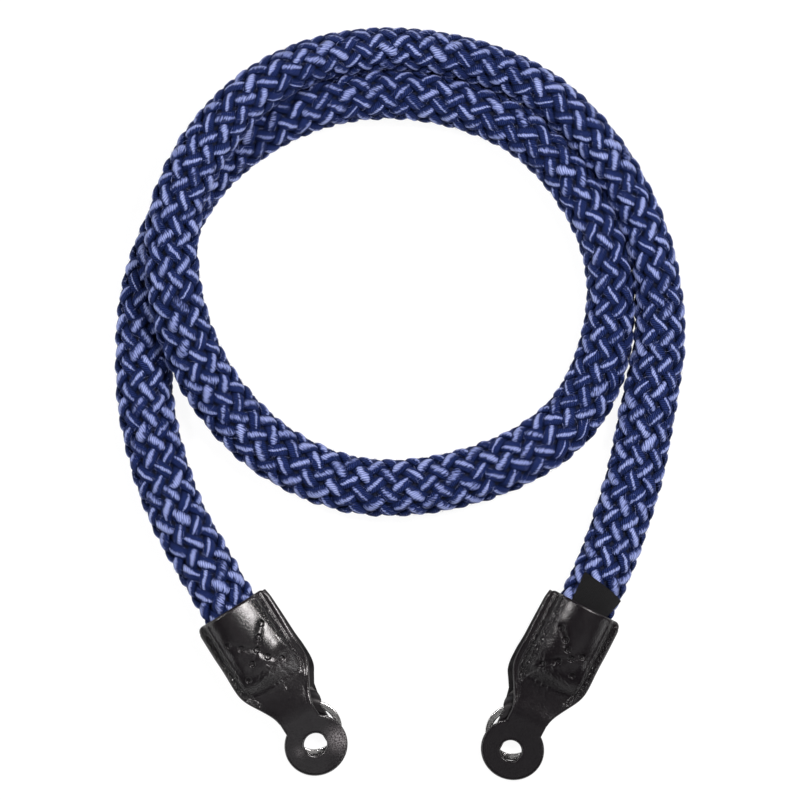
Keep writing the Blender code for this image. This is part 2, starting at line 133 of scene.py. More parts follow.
# The rope's route, as in the CAD model: x, y, lift, width and height
ROUTE = [
    (-61.6, -52.4, 0.02, 1.00, 1.00),
    (-71.2, -35.4, 0.00, 1.00, 1.00),
    (-77.3, -18.7, 0.00, 1.00, 1.00),
    (-81.2, -1.1, 0.00, 1.00, 1.00),
    (-82.1, 17.0, 0.00, 1.00, 1.00),
    (-80.8, 35.0, 0.00, 1.00, 1.00),
    (-75.2, 53.0, 0.00, 1.00, 1.00),
    (-65.5, 70.9, 0.00, 0.98, 1.03),
    (-50.9, 84.6, 0.00, 0.95, 1.07),
    (-32.3, 94.2, 0.00, 0.90, 1.14),
    (-12.6, 98.8, 0.00, 0.88, 1.17),
    (8.0, 98.3, 0.00, 0.88, 1.17),
    (26.5, 93.4, 0.00, 0.87, 1.18),
    (42.2, 84.6, 0.00, 0.85, 1.21),
    (55.5, 70.1, 0.00, 0.84, 1.22),
    (64.4, 52.9, 0.00, 0.83, 1.24),
    (67.4, 34.1, 0.00, 0.85, 1.21),
    (65.1, 16.8, 0.00, 0.94, 1.08),
    (56.6, -2.0, 0.00, 1.00, 1.00),
    (42.9, -14.1, 0.00, 1.00, 1.00),
    (26.6, -21.6, 0.00, 1.00, 1.00),
    (5.8, -26.2, 0.00, 1.00, 1.00),
    (-15.4, -25.6, 0.00, 1.00, 1.00),
    (-34.2, -18.6, 0.01, 1.00, 1.00),
    (-51.0, -6.2, 0.09, 1.00, 1.00),
    (-62.6, 9.1, 0.39, 0.99, 1.01),
    (-69.6, 25.2, 0.76, 0.98, 1.03),
    (-72.9, 42.0, 0.97, 0.96, 1.05),
    (-72.6, 58.2, 1.03, 0.94, 1.08),
    (-66.4, 76.0, 1.03, 0.92, 1.10),
    (-56.4, 90.8, 0.96, 0.87, 1.17),
    (-42.4, 103.2, 0.75, 0.81, 1.26),
    (-25.6, 111.1, 0.37, 0.77, 1.32),
    (-6.4, 114.3, 0.07, 0.76, 1.34),
    (12.6, 113.0, 0.00, 0.76, 1.34),
    (29.8, 108.6, 0.00, 0.77, 1.33),
    (45.6, 101.0, 0.00, 0.78, 1.31),
    (60.0, 88.8, 0.00, 0.79, 1.29),
    (71.2, 73.7, 0.00, 0.80, 1.28),
    (79.2, 56.4, 0.00, 0.81, 1.26),
    (83.2, 38.2, 0.00, 0.84, 1.22),
    (83.4, 19.0, 0.00, 0.91, 1.12),
    (79.8, 0.2, 0.00, 0.98, 1.03),
    (75.6, -19.7, 0.00, 1.00, 1.00),
    (70.6, -37.0, 0.00, 1.00, 1.00),
    (65.0, -52.2, 0.04, 1.00, 1.00),
]

# Front leather's sections, as in the CAD model
FRONT_ROWS = [
    (0.000, 0.975, 1.00, 1.00, 0.00, 0.00),
    (0.060, 1.000, 1.00, 1.00, 0.00, 0.00),
    (0.140, 1.000, 0.99, 1.00, 0.00, 0.00),
    (0.220, 1.000, 0.96, 1.00, 0.00, 0.00),
    (0.290, 0.990, 0.92, 0.99, 0.00, 0.00),
    (0.350, 0.990, 0.90, 0.97, 0.00, 0.00),
    (0.410, 1.000, 0.85, 0.90, 0.00, 0.00),
    (0.455, 1.000, 0.77, 0.78, 0.00, 0.00),
    (0.500, 0.990, 0.56, 0.58, 0.10, 0.00),
    (0.540, 0.940, 0.34, 0.38, 0.45, 0.00),
    (0.580, 0.860, 0.17, 0.20, 0.85, 0.00),
    (0.620, 0.760, 0.06, 0.08, 1.00, 0.06),
    (0.660, 0.670, 0.00, 0.00, 1.00, 0.45),
    (0.700, 0.580, 0.00, 0.00, 1.00, 0.98),
    (0.735, 0.520, 0.00, 0.00, 1.00, 1.17),
]

# Back leather's sections and the strip's returning end, as in the CAD model
BACK_ROWS = [
    (0.010, 0.960, 1.00, 0.20),
    (0.070, 0.985, 1.00, 0.25),
    (0.160, 0.985, 1.00, 0.30),
    (0.260, 0.975, 0.99, 0.40),
    (0.350, 0.965, 0.97, 0.50),
    (0.410, 0.965, 0.90, 0.60),
    (0.455, 0.950, 0.78, 0.70),
    (0.500, 0.930, 0.56, 0.80),
    (0.540, 0.890, 0.30, 0.90),
    (0.580, 0.820, 0.12, 1.00),
    (0.620, 0.720, 0.03, 1.00),
    (0.670, 0.600, 0.00, 1.00),
]
TAIL_ROWS = [
    (0.90, 1.06),
    (1.00, 1.12),
    (1.10, 1.04),
    (1.22, 0.72),
    (1.35, 0.34),
    (1.50, 0.10),
    (1.70, 0.03),
]

# Front leather as the photo shows it: where its arch meets the flat edges, in shares of its
# half width on the ring's side and the far side, and how high the neck stands over the ring
RING_SIDE_REACH = 0.74
FAR_SIDE_REACH = 0.80
NECK_FILL = HUMP_LEVEL + 0.45 * MM
EDGE_FILL = HUMP_LEVEL + 0.10 * MM

# How much wider the back leather's strip shows on the ring's side than in the CAD model, and how
# much farther into the ring its fold reaches there
STRIP_SIDE_WIDENING = 1.20
STRIP_SLACK = 1.7 * MM

# The label as the photo shows it: its length, where its outer edge starts round the rope in
# degrees, how many degrees later it starts at the leather, and how far its outer edge slants
LABEL_LENGTH = 10.3 * MM
LABEL_FROM = 22.0
LABEL_TURN = 28.0
LABEL_SKEW = 3.6 * MM

# The front leather's relief: the valleys of the stitches and their holes, fine wrinkles, the
# crease beside the edge on the ring's side, and the far side's seam. Its mesh has rings of points
# round each stitch hole and rows of points along the crease, at these many millimetres from the
# hole's middle and from the edge. Even points fill the rest and keep clear of those rows
VALLEY_REACH = 1.20 * MM
HOLE_DEPTH = 0.62 * MM
HOLE_RADIUS = 0.95 * MM
HOLE_RINGS = (0.30, 0.55, 0.74, 0.86, 0.98, 1.10, 1.30)
WRINKLES = 46
CREASE_INSET = 1.95 * MM
CREASE_DROP = 0.32 * MM
CREASE_LINES = (1.70, 1.82, 1.92, 2.02, 2.14, 2.30)
CREASE_MIDDLE = 2.0 * MM
CREASE_CLEARANCE = 0.40 * MM
SEAM_INSET = 2.9 * MM
SEAM_DEPTH = 0.22 * MM
PLATE_SPACING = 0.28 * MM

# The steepest that the leather's wall is followed up a slope, as the slope's square
STEEPEST = 3.0

# Over what height one surface blends into another that is to stay above it
SOFT_STEP = 0.35 * MM

# Where the left tab starts to get thinner towards its ring side, from the hole's middle
SKIVE_START = 2.6 * MM

# Braid: strands each way, the length of one full turn of a strand, how deep a strand's middle
# lies under the rope's surface and how far it waves, its own half width and height, the points
# along each float and round it, how far inside the leather it starts, and the core's depth with
# its points along it and round it
STRANDS = 7
LEAD = 59.6 * MM
STRAND_DEPTH = 1.36 * MM
STRAND_WAVE = 0.62 * MM
STRAND_HALF_WIDTH = 2.06 * MM
STRAND_HALF_HEIGHT = 0.90 * MM
STRAND_STEPS = 12
STRAND_SIDES = 10
STRAND_START = 5.0 * MM
CORE_DEPTH = 1.7 * MM
CORE_STATIONS = 420
CORE_SIDES = 16

# How far round the rope its columns of flecks lie, in millimetres to the right of its top:
# length along the rope, turn
TWIST = [
    (22.0, -2.4), (140.0, -2.4), (230.0, -4.2), (330.0, -4.0), (390.0, -2.6), (570.0, -2.4),
    (620.0, 0.2), (710.0, 0.2), (770.0, -1.8), (830.0, -3.0), (950.0, -2.6),
]

# How far the rope lies to the right of the CAD model's route: length along the rope, shift
SHIFT = [
    (40.0, 0.0), (67.0, 0.3), (97.0, 0.25), (127.0, 0.5), (167.0, 0.8), (187.0, 0.7), (212.0, 0.35),
    (240.0, 0.1), (490.0, 0.1), (507.0, 0.45), (567.0, 0.5), (587.0, 0.8), (640.0, 0.85),
    (667.0, 1.05), (727.0, 1.2), (747.0, 1.6), (772.0, 1.7), (792.0, 1.25), (817.0, 0.8),
    (837.0, 0.35), (857.0, 0.0),
]

# The light yarn on top of each strand: its half width, how high it stands, how far along its
# float it shows, in floats from the middle, the points along and across it, and the slant of
# its fibres in degrees
FLECK_HALF_WIDTH = 1.04 * MM
FLECK_HEIGHT = 0.34 * MM
FLECK_REACH = 0.70
FLECK_STEPS = 12
FLECK_SIDES = 8
FIBRE_SLANT = 64.0

# How wide the flecks show: length along the rope, share of the usual width
FLECK_SIZES = [
    (140.0, 1.06), (210.0, 0.88), (370.0, 0.86), (420.0, 1.02), (500.0, 1.04), (560.0, 0.94),
    (640.0, 0.92), (760.0, 0.90), (830.0, 1.04),
]

# Loose fibres that stand off the braid: how many, how long, how thick, the points along each,
# and how far they keep off the leather
HAIRS = 5200
HAIR_LENGTH = 2.4 * MM
HAIR_RADIUS = 0.034 * MM
HAIR_STEPS = 4
HAIR_MARGIN = 3.0 * MM

# The ring's wire: points along it and round it, and how square its section is, 1 being oval
RING_STATIONS = 300
RING_SIDES = 20
RING_SQUARENESS = 0.50

# Floor: half its side, and how far it lies under the strap
FLOOR_REACH = 2.0
FLOOR_DROP = 0.05 * MM

# Lamps: their distance from the strap's middle, and for each its name, its direction round the
# strap and above the floor in degrees, its two sides, its brightness and its colour
LAMP_DISTANCE = 1.5
LAMPS = [
    ("key", 34.0, 57.0, (0.43, 0.60), 30.0, (1.0, 0.96, 0.96)),
    ("second", 150.0, 54.0, (0.14, 0.17), 120.0, (1.0, 0.97, 0.97)),
    ("side", -26.0, 21.0, (0.55, 0.50), 4.5, (1.0, 1.0, 1.0)),
    ("fill", 195.0, 24.0, (1.60, 0.60), 2.5, (1.0, 1.0, 1.0)),
    ("front", -78.0, 57.0, (1.40, 0.45), 0.75, (1.0, 1.0, 1.0)),
    ("strip", -88.0, 77.0, (0.60, 0.14), 0.9, (1.0, 1.0, 1.0)),
]

# Camera: the width that it sees on the floor, its height over it, and its place
VIEW_WIDTH = 256.0 * MM
VIEW_HEIGHT = 3.0
VIEW_Y = 1.44 * MM


def fast_mesh(name, points, faces, uvs=None, tones=None, grains=None, painted_sheen_values=None):
    """A smooth mesh from arrays of points and of faces with the same number of corners."""
    mesh = bpy.data.meshes.new(name)
    corners = faces.shape[1]
    mesh.vertices.add(len(points))
    mesh.vertices.foreach_set("co", points.astype(np.float32).ravel())
    mesh.loops.add(faces.size)
    mesh.loops.foreach_set("vertex_index", faces.astype(np.int32).ravel())
    mesh.polygons.add(len(faces))
    mesh.polygons.foreach_set("loop_start", np.arange(0, faces.size, corners, dtype=np.int32))
    if uvs is not None:
        layer = mesh.uv_layers.new(name="lay")
        layer.data.foreach_set("uv", uvs[faces.ravel()].astype(np.float32).ravel())
    for word, values in (("tone", tones), ("grain", grains), ("painted_sheen", painted_sheen_values)):
        if values is not None:
            layer = mesh.attributes.new(word, "FLOAT", "POINT")
            layer.data.foreach_set("value", values.astype(np.float32).ravel())
    mesh.update(calc_edges=True)
    mesh.validate()
    mesh.shade_smooth()
    return mesh


def add_piece(name, mesh, body, material, replaces=()):
    """Link a piece, give it its material, and say what it rides on and stands for."""
    piece = bpy.data.objects.new(name, mesh)
    bpy.context.scene.collection.objects.link(piece)
    mesh.materials.clear()
    mesh.materials.append(material)
    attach(piece, body)
    if replaces:
        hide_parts(*replaces)
    return piece


def tube_quads(index):
    """Quads of tubes from their points' numbers, by station and then round the tube."""
    near, far = index[..., :-1, :], index[..., 1:, :]
    return np.stack([near, np.roll(near, -1, -1), np.roll(far, -1, -1), far], -1).reshape(-1, 4)


def tubes(centres, sideways, outward, across, tall):
    """Points and quads of tubes; arrays go by tube, station and point round it."""
    beside = sideways[:, :, None] * across[..., None]
    points = centres[:, :, None] + beside + outward[:, :, None] * tall[..., None]
    return points.reshape(-1, 3), tube_quads(np.arange(across.size).reshape(across.shape))


def close_tube(mesh, first, last, turn_out=False):
    """Close a tube's two ends, given the numbers of the points round each."""
    shape = bmesh.new()
    shape.from_mesh(mesh)
    shape.verts.ensure_lookup_table()
    for row in (first, last):
        shape.faces.new([shape.verts[i] for i in row])
    if turn_out:
        bmesh.ops.recalc_face_normals(shape, faces=shape.faces)
    shape.to_mesh(mesh)
    shape.free()


def grid_mesh(name, rows, uvs=None, tones=None, flip=False):
    """A sheet from rows of points."""
    stations, columns = rows.shape[:2]
    index = np.arange(stations * columns).reshape(stations, columns)
    corners = [index[:-1, :-1], index[:-1, 1:], index[1:, 1:], index[1:, :-1]]
    quads = np.stack(corners, -1).reshape(-1, 4)
    if flip:
        quads = quads[:, ::-1]
    return fast_mesh(name, rows.reshape(-1, 3), quads, uvs, tones)


def thicken(piece, thickness, even, rounding, segments):
    """Give a sheet its wall, and round the wall's edges."""
    wall = piece.modifiers.new("wall", "SOLIDIFY")
    wall.thickness = thickness
    wall.offset = 1.0
    wall.use_even_offset = even
    edge = piece.modifiers.new("rounding", "BEVEL")
    edge.width = rounding
    edge.segments = segments
    edge.limit_method = "ANGLE"
    edge.angle_limit = math.radians(60.0)


def unit(vectors):
    """Vectors made one long."""
    return vectors / np.linalg.norm(vectors, axis=-1, keepdims=True)


def square_to(points, normals):
    """Normals made square to the line through the points, and the directions beside it."""
    tangents = unit(np.gradient(points, axis=-2))
    normals = unit(normals - tangents * (normals * tangents).sum(-1, keepdims=True))
    return normals, np.cross(tangents, normals)


def spline_slopes(places, values):
    """Slopes at each place that make a smooth cubic curve through the values."""
    count = len(places)
    step = np.diff(places)
    system = np.zeros((count, count))
    sides = np.zeros_like(values)
    rise = np.diff(values, axis=0) / step[:, None]
    system[0, :2] = (2.0, 1.0)
    system[-1, -2:] = (1.0, 2.0)
    sides[0] = 3 * rise[0]
    sides[-1] = 3 * rise[-1]
    for i in range(1, count - 1):
        system[i, i - 1] = step[i]
        system[i, i] = 2 * (step[i - 1] + step[i])
        system[i, i + 1] = step[i - 1]
        sides[i] = 3 * (step[i] * rise[i - 1] + step[i - 1] * rise[i])
    return np.linalg.solve(system, sides)


def cubic(places, values, slopes, wanted):
    """The cubic curve through the values, at the wanted places."""
    index = np.clip(np.searchsorted(places, wanted) - 1, 0, len(places) - 2)
    width = (places[index + 1] - places[index])[:, None]
    t = (wanted - places[index])[:, None] / width
    return (
        (1 + 2 * t) * (1 - t) ** 2 * values[index]
        + t * (1 - t) ** 2 * width * slopes[index]
        + t**2 * (3 - 2 * t) * values[index + 1]
        + t**2 * (t - 1) * width * slopes[index + 1]
    )


def gentle_slopes(places, values):
    """Slopes that never overshoot the values, for tables of sections."""
    rise = np.diff(values, axis=0) / np.diff(places)[:, None]
    slopes = np.zeros_like(values)
    before, after = rise[:-1], rise[1:]
    same = before * after > 0
    slopes[1:-1][same] = (2 * before * after)[same] / (before + after)[same]
    slopes[0] = rise[0]
    slopes[-1] = rise[-1]
    return slopes


def end_matrix(end):
    """The end's axes: along towards the tab, across to the left of that, and up."""
    turn = Matrix.Rotation(math.radians(end["heading"]), 4, "Z")
    return Matrix.Translation((end["x"], end["y"], 0.0)) @ turn


def end_points(end, along, across, height):
    """Points of a leather end in the strap's frame; across is towards the ring's side."""
    turn = math.radians(end["heading"])
    side = np.asarray(across) * end["hand"]
    x = end["x"] + along * math.cos(turn) - side * math.sin(turn)
    y = end["y"] + along * math.sin(turn) + side * math.cos(turn)
    return np.stack(np.broadcast_arrays(x, y, height), -1)


def set_inputs(node, **values):
    """Set a node's inputs by name, with _ for each space."""
    for key, value in values.items():
        node.inputs[key.replace("_", " ")].default_value = value


def new_material(name, **values):
    """A Principled material with the given inputs, its node tree and its shader."""
    material = bpy.data.materials.new(name)
    material.use_nodes = True
    shader = material.node_tree.nodes["Principled BSDF"]
    set_inputs(shader, **values)
    return material, material.node_tree, shader


def add_node(tree, kind, **inputs):
    """A shader node with its inputs set by name."""
    node = tree.nodes.new(kind)
    set_inputs(node, **inputs)
    return node


def attribute(tree, name):
    """A value that the mesh carries at its points."""
    node = tree.nodes.new("ShaderNodeAttribute")
    node.attribute_name = name
    return node.outputs["Fac"]


def combined(tree, operation, first, second):
    """Two values added or multiplied."""
    node = tree.nodes.new("ShaderNodeMath")
    node.operation = operation
    tree.links.new(first, node.inputs[0])
    tree.links.new(second, node.inputs[1])
    return node.outputs[0]


def noise(tree, vector, scale, detail=3.0, roughness=0.5):
    """A noise texture on the given coordinates."""
    node = add_node(tree, "ShaderNodeTexNoise", Scale=scale, Detail=detail, Roughness=roughness)
    tree.links.new(vector, node.inputs["Vector"])
    return node.outputs["Fac"]


def mapped(tree, value, low, high, to_low, to_high):
    """A value carried from one range to another, and kept inside it."""
    node = add_node(
        tree, "ShaderNodeMapRange", From_Min=low, From_Max=high, To_Min=to_low, To_Max=to_high
    )
    tree.links.new(value, node.inputs["Value"])
    return node.outputs["Result"]


def mixed(tree, factor, first, second):
    """Two colours mixed by a factor."""
    node = tree.nodes.new("ShaderNodeMix")
    node.data_type = "RGBA"
    tree.links.new(factor, node.inputs[0])
    for socket, value in ((node.inputs[6], first), (node.inputs[7], second)):
        if isinstance(value, tuple):
            socket.default_value = (*value, 1.0)
        else:
            tree.links.new(value, socket)
    return node.outputs[2]


def bump(tree, shader, height, distance, before=None):
    """A bump on a shader from a height in metres, laid over an earlier one."""
    node = add_node(tree, "ShaderNodeBump", Strength=1.0, Distance=distance)
    tree.links.new(height, node.inputs["Height"])
    if before:
        tree.links.new(before, node.inputs["Normal"])
    tree.links.new(node.outputs["Normal"], shader.inputs["Normal"])
    return node.outputs["Normal"]


def lay_place(tree, slant, squash=1.0):
    """Coordinates along the fibres of a strand, in centimetres; squash draws them out."""
    place = tree.nodes.new("ShaderNodeUVMap")
    place.uv_map = "lay"
    spin = (0.0, 0.0, math.radians(slant))
    turn = add_node(tree, "ShaderNodeMapping", Rotation=spin, Scale=(1.0, squash, 1.0))
    turn.vector_type = "TEXTURE"
    tree.links.new(place.outputs["UV"], turn.inputs["Vector"])
    return turn.outputs["Vector"]


def lay_stripes(tree, slant, width):
    """Fine lines across the fibres, the given width apart in centimetres."""
    wave = add_node(
        tree, "ShaderNodeTexWave", Scale=math.pi / 10 / width, Distortion=1.5, Detail=2.0,
        Detail_Scale=1.5,
    )
    tree.links.new(lay_place(tree, slant), wave.inputs["Vector"])
    return wave.outputs["Fac"]


def object_place(tree):
    """Coordinates in the strap's frame."""
    return tree.nodes.new("ShaderNodeTexCoord").outputs["Object"]


def navy_material():
    """Navy cotton strands: dark, matte, with fine slanting lines painted lighter as a highlight on
    the fibres, and painted shade on their undersides and where they dive under crossing strands.
    """
    material, tree, shader = new_material(
        "navy strands", Roughness=0.75, Specular_IOR_Level=0.2,
        Specular_Tint=(0.30, 0.42, 1.0, 1.0), Sheen_Weight=0.05, Sheen_Roughness=0.4,
        Sheen_Tint=(0.25, 0.32, 0.9, 1.0),
    )
    place = object_place(tree)
    blotch = mapped(tree, noise(tree, place, 330.0), 0.35, 0.65, 0.0, 1.0)
    lines = lay_stripes(tree, FIBRE_SLANT, 0.055)
    base = mixed(tree, blotch, (0.0034, 0.0082, 0.038), (0.0064, 0.0134, 0.064))
    # Fine slanting lines painted lighter: painted highlight along the fibres
    lit = mixed(tree, mapped(tree, lines, 0.40, 1.0, 0.0, 1.0), base, (0.0310, 0.0490, 0.190))
    # Painted shade: the strands' undersides and the parts that dive under crossing strands take the
    # darkest navy, from the mesh's tone
    painted_crest_shading = mixed(tree, attribute(tree, "tone"), (0.0022, 0.0056, 0.027), lit)
    tree.links.new(painted_crest_shading, shader.inputs["Base Color"])
    first = bump(tree, shader, lines, 0.00020)
    bump(tree, shader, noise(tree, place, 2600.0), 0.00012, first)
    return material


def fleck_material():
    """Light blue-violet yarn that frays into the navy at its edges, with painted shade where its
    tone falls and fine lines painted lighter and darker along its fibres.
    """
    material, tree, shader = new_material(
        "light yarn", Roughness=0.5, Specular_IOR_Level=0.35,
        Specular_Tint=(0.65, 0.72, 1.0, 1.0),
    )
    place = object_place(tree)
    tone = attribute(tree, "tone")
    fibres = noise(tree, lay_place(tree, FIBRE_SLANT, 5.0), 24.0, 2.0)
    frayed = combined(tree, "ADD", tone, mapped(tree, fibres, 0.34, 0.66, -0.42, 0.42))
    cover = mapped(tree, frayed, 0.18, 0.52, 0.0, 1.0)
    lines = lay_stripes(tree, FIBRE_SLANT, 0.060)
    # Fine lines along the fibres: painted highlight on their ridges and painted shade between them
    bright = mixed(tree, lines, (0.125, 0.160, 0.38), (0.395, 0.455, 0.75))
    # Painted shade: the yarn darkens where its tone falls, on the rope's flanks and towards its
    # edges and ends
    yarn = mixed(tree, tone, (0.080, 0.112, 0.31), bright)
    shade = mixed(tree, cover, (0.0068, 0.0142, 0.070), yarn)
    tree.links.new(shade, shader.inputs["Base Color"])
    first = bump(tree, shader, lines, 0.00013)
    second = bump(tree, shader, cover, 0.00012, first)
    bump(tree, shader, noise(tree, place, 3200.0), 0.00008, second)
    return material


def hair_material():
    """Loose fibres: some navy, some light."""
    material, tree, shader = new_material("loose fibres", Roughness=0.6)
    shade = mixed(tree, attribute(tree, "tone"), (0.016, 0.025, 0.11), (0.36, 0.42, 0.80))
    tree.links.new(shade, shader.inputs["Base Color"])
    return material


def core_material():
    """The filling seen between the strands: navy, painted darker than the strands as the shade
    between them.
    """
    return new_material("braid core", Base_Color=(0.0022, 0.0058, 0.025, 1.0), Roughness=0.95)[0]


def leather_material(name, roughness, gloss):
    """Black leather: fine grain, uneven sheen, a paler cut edge and pale mottled spots of painted
    sheen.
    """
    material, tree, shader = new_material(name, Specular_IOR_Level=gloss)
    place = object_place(tree)
    cloud = noise(tree, place, 190.0, 4.0)
    surface = mixed(tree, cloud, (0.0034, 0.0024, 0.0034), (0.0058, 0.0043, 0.0057))
    specks = mapped(tree, noise(tree, place, 2300.0, 2.0), 0.36, 0.64, 0.10, 1.0)
    # Painted sheen: pale mottled spots, from the mesh's values and fine specks, that stand in for
    # light on the leather
    painted_sheen = combined(tree, "MULTIPLY", attribute(tree, "painted_sheen"), specks)
    with_painted_sheen = mixed(tree, painted_sheen, surface, (0.230, 0.215, 0.222))
    edged = mixed(tree, attribute(tree, "tone"), with_painted_sheen, (0.020, 0.018, 0.019))
    tree.links.new(edged, shader.inputs["Base Color"])
    patches = noise(tree, place, 380.0, 5.0)
    rough = mapped(tree, patches, 0.3, 0.7, roughness - 0.015, roughness + 0.025)
    tree.links.new(rough, shader.inputs["Roughness"])
    cells = add_node(tree, "ShaderNodeTexVoronoi", Scale=1300.0)
    cells.feature = "DISTANCE_TO_EDGE"
    tree.links.new(place, cells.inputs["Vector"])
    pores = mapped(tree, cells.outputs["Distance"], 0.0, 0.25, 0.0, 1.0)
    pebbles = combined(tree, "MULTIPLY", pores, attribute(tree, "grain"))
    first = bump(tree, shader, pebbles, 0.00018)
    second = bump(tree, shader, noise(tree, place, 650.0, 4.0), 0.000006, first)
    bump(tree, shader, noise(tree, place, 2100.0, 3.0), 0.000024, second)
    return material


def thread_material():
    """Waxed black thread."""
    material, tree, shader = new_material(
        "black thread", Base_Color=(0.003, 0.003, 0.003, 1.0), Roughness=0.55
    )
    bump(tree, shader, noise(tree, object_place(tree), 2800.0), 0.00010)
    return material


def steel_material():
    """Polished steel with a slightly uneven shine."""
    material, tree, shader = new_material(
        "ring steel", Base_Color=(0.50, 0.495, 0.49, 1.0), Metallic=1.0
    )
    place = object_place(tree)
    rough = mapped(tree, noise(tree, place, 900.0, 4.0), 0.3, 0.7, 0.18, 0.26)
    tree.links.new(rough, shader.inputs["Roughness"])
    bump(tree, shader, noise(tree, place, 1200.0), 0.000002)
    return material


def label_material():
    """Plain black woven tape: fine ribs across and along."""
    material, tree, shader = new_material("woven label", Roughness=0.7, Specular_IOR_Level=0.2)
    place = tree.nodes.new("ShaderNodeUVMap")
    place.uv_map = "lay"
    ribs = []
    for slant in (0.0, math.pi / 2):
        turn = add_node(tree, "ShaderNodeMapping", Rotation=(0.0, 0.0, slant))
        tree.links.new(place.outputs["UV"], turn.inputs["Vector"])
        wave = add_node(tree, "ShaderNodeTexWave", Scale=9.0, Distortion=0.6)
        tree.links.new(turn.outputs["Vector"], wave.inputs["Vector"])
        ribs.append(wave.outputs["Fac"])
    shade = mixed(tree, ribs[0], (0.0030, 0.0030, 0.0035), (0.0085, 0.0085, 0.0095))
    tree.links.new(shade, shader.inputs["Base Color"])
    first = bump(tree, shader, ribs[0], 0.00012)
    bump(tree, shader, ribs[1], 0.00008, first)
    return material


def looked_up(table, lengths):
    """Distances at lengths along the rope, from a table of both in millimetres."""
    rows = np.array(table) * MM
    return np.interp(lengths, rows[:, 0], rows[:, 1])


def route_rows():
    """The route from end to end: x, y, underside, width and height in metres."""
    def inset(end):
        rows = []
        for share in (0.0, 0.5, 1.0):
            x, y, _ = end_points(end, share * ROPE_INSET, 0.0, 0.0)
            height = MOUTH_SQUEEZE + (INSET_SQUEEZE - MOUTH_SQUEEZE) * share**1.5
            width = 1.0 + (INSET_NARROWING - 1.0) * share
            rows.append((x, y, SEAT, width * ROPE_WIDTH, height * ROPE_HEIGHT))
        return rows

    middle = [
        (x * MM, y * MM, lift * (ROPE_HEIGHT + GAP), wide * ROPE_WIDTH, tall * ROPE_HEIGHT)
        for x, y, lift, wide, tall in ROUTE
    ]
    return np.array(inset(LEFT_END)[::-1] + middle + inset(RIGHT_END))


def rope_stations(samples):
    """Centres, side and up directions, widths, heights and lengths along the rope."""
    values = route_rows()
    places = np.concatenate([[0.0], np.cumsum(np.hypot(*np.diff(values[:, :2], axis=0).T))])
    fine = np.linspace(0, places[-1], samples * 4)
    curve = cubic(places, values, spline_slopes(places, values), fine)
    flat = np.concatenate([[0.0], np.cumsum(np.hypot(*np.diff(curve[:, :2], axis=0).T))])
    even = np.linspace(0.0, flat[-1], samples)
    rows = np.array([np.interp(even, flat, column) for column in curve.T]).T
    heights = np.maximum(rows[:, 2], 0.0) + rows[:, 4] / 2
    centres = np.column_stack([rows[:, 0], rows[:, 1], heights])
    tangents = unit(np.gradient(centres, axis=0))
    sides = unit(np.cross([0.0, 0.0, 1.0], tangents))
    ups = np.cross(tangents, sides)
    lengths = np.concatenate([[0.0], np.cumsum(np.linalg.norm(np.diff(centres, axis=0), axis=1))])
    centres -= sides * looked_up(SHIFT, lengths)[:, None]
    return {
        "centre": centres, "side": sides, "up": ups,
        "width": rows[:, 3], "height": rows[:, 4], "length": lengths,
    }


ROPE = rope_stations(4000)
ROPE_LENGTH = float(ROPE["length"][-1])


def rope_at(lengths, key):
    """The rope's centre, direction or size at the given lengths along it."""
    values = ROPE[key]
    if values.ndim == 1:
        return np.interp(lengths, ROPE["length"], values)
    return np.stack([np.interp(lengths, ROPE["length"], column) for column in values.T], -1)


def rope_surface(lengths, angles, depth):
    """Points under the rope's surface and their outward normals; angles go by arc length."""
    centre = rope_at(lengths, "centre")
    side = rope_at(lengths, "side")
    up = rope_at(lengths, "up")
    half_width = rope_at(lengths, "width") / 2
    half_height = rope_at(lengths, "height") / 2
    flat = (half_width**2 - half_height**2) / (half_width**2 + half_height**2)
    turn = angles + flat / 4 * np.sin(2 * angles)
    cos = np.cos(turn)[..., None]
    sin = np.sin(turn)[..., None]
    wide = half_width[..., None]
    tall = half_height[..., None]
    deep = np.broadcast_to(depth, lengths.shape)[..., None]
    points = centre + side * cos * (wide - deep) + up * sin * (tall - deep)
    normals = unit(side * cos / wide + up * sin / tall)
    return points, normals


def make_core(material):
    """The dark tube inside the strands, in place of the CAD model's rope."""
    lengths = np.linspace(0.0, ROPE_LENGTH, CORE_STATIONS)[:, None]
    angles = 2 * math.pi * np.arange(CORE_SIDES)[None] / CORE_SIDES
    lengths, angles = np.broadcast_arrays(lengths, angles)
    points, _ = rope_surface(lengths, angles, CORE_DEPTH)
    index = np.arange(angles.size).reshape(angles.shape)
    mesh = fast_mesh("rope_core", points.reshape(-1, 3), tube_quads(index))
    close_tube(mesh, index[0][::-1], index[-1])
    return add_piece("rope_core", mesh, "strap", material, ["braided_rope"])


def strand_angle(hand, strand, lengths):
    """Where a strand is round the rope, and how far over the crossing ones: 1 to -1."""
    crossing = 2 * STRANDS * (lengths / LEAD - strand / STRANDS)
    turn = 2 * math.pi * looked_up(TWIST, lengths) / GIRTH
    over = hand * np.sin(math.pi / 2 * np.cos(math.pi * crossing))
    return math.pi / 2 + turn + math.pi / STRANDS * crossing * hand, over


def strand_path(hand, strand, lengths):
    """Centres, outward normals and sideways directions of one strand."""
    angles, over = strand_angle(hand, strand, lengths)
    points, normals = rope_surface(lengths, angles, STRAND_DEPTH - STRAND_WAVE * over)
    return points, *square_to(points, normals), over


def strand_widths(over):
    """A strand's half width and half height: flatter and wider where it is over."""
    return STRAND_HALF_WIDTH * (0.90 + 0.10 * over), STRAND_HALF_HEIGHT * (0.96 + 0.05 * over)


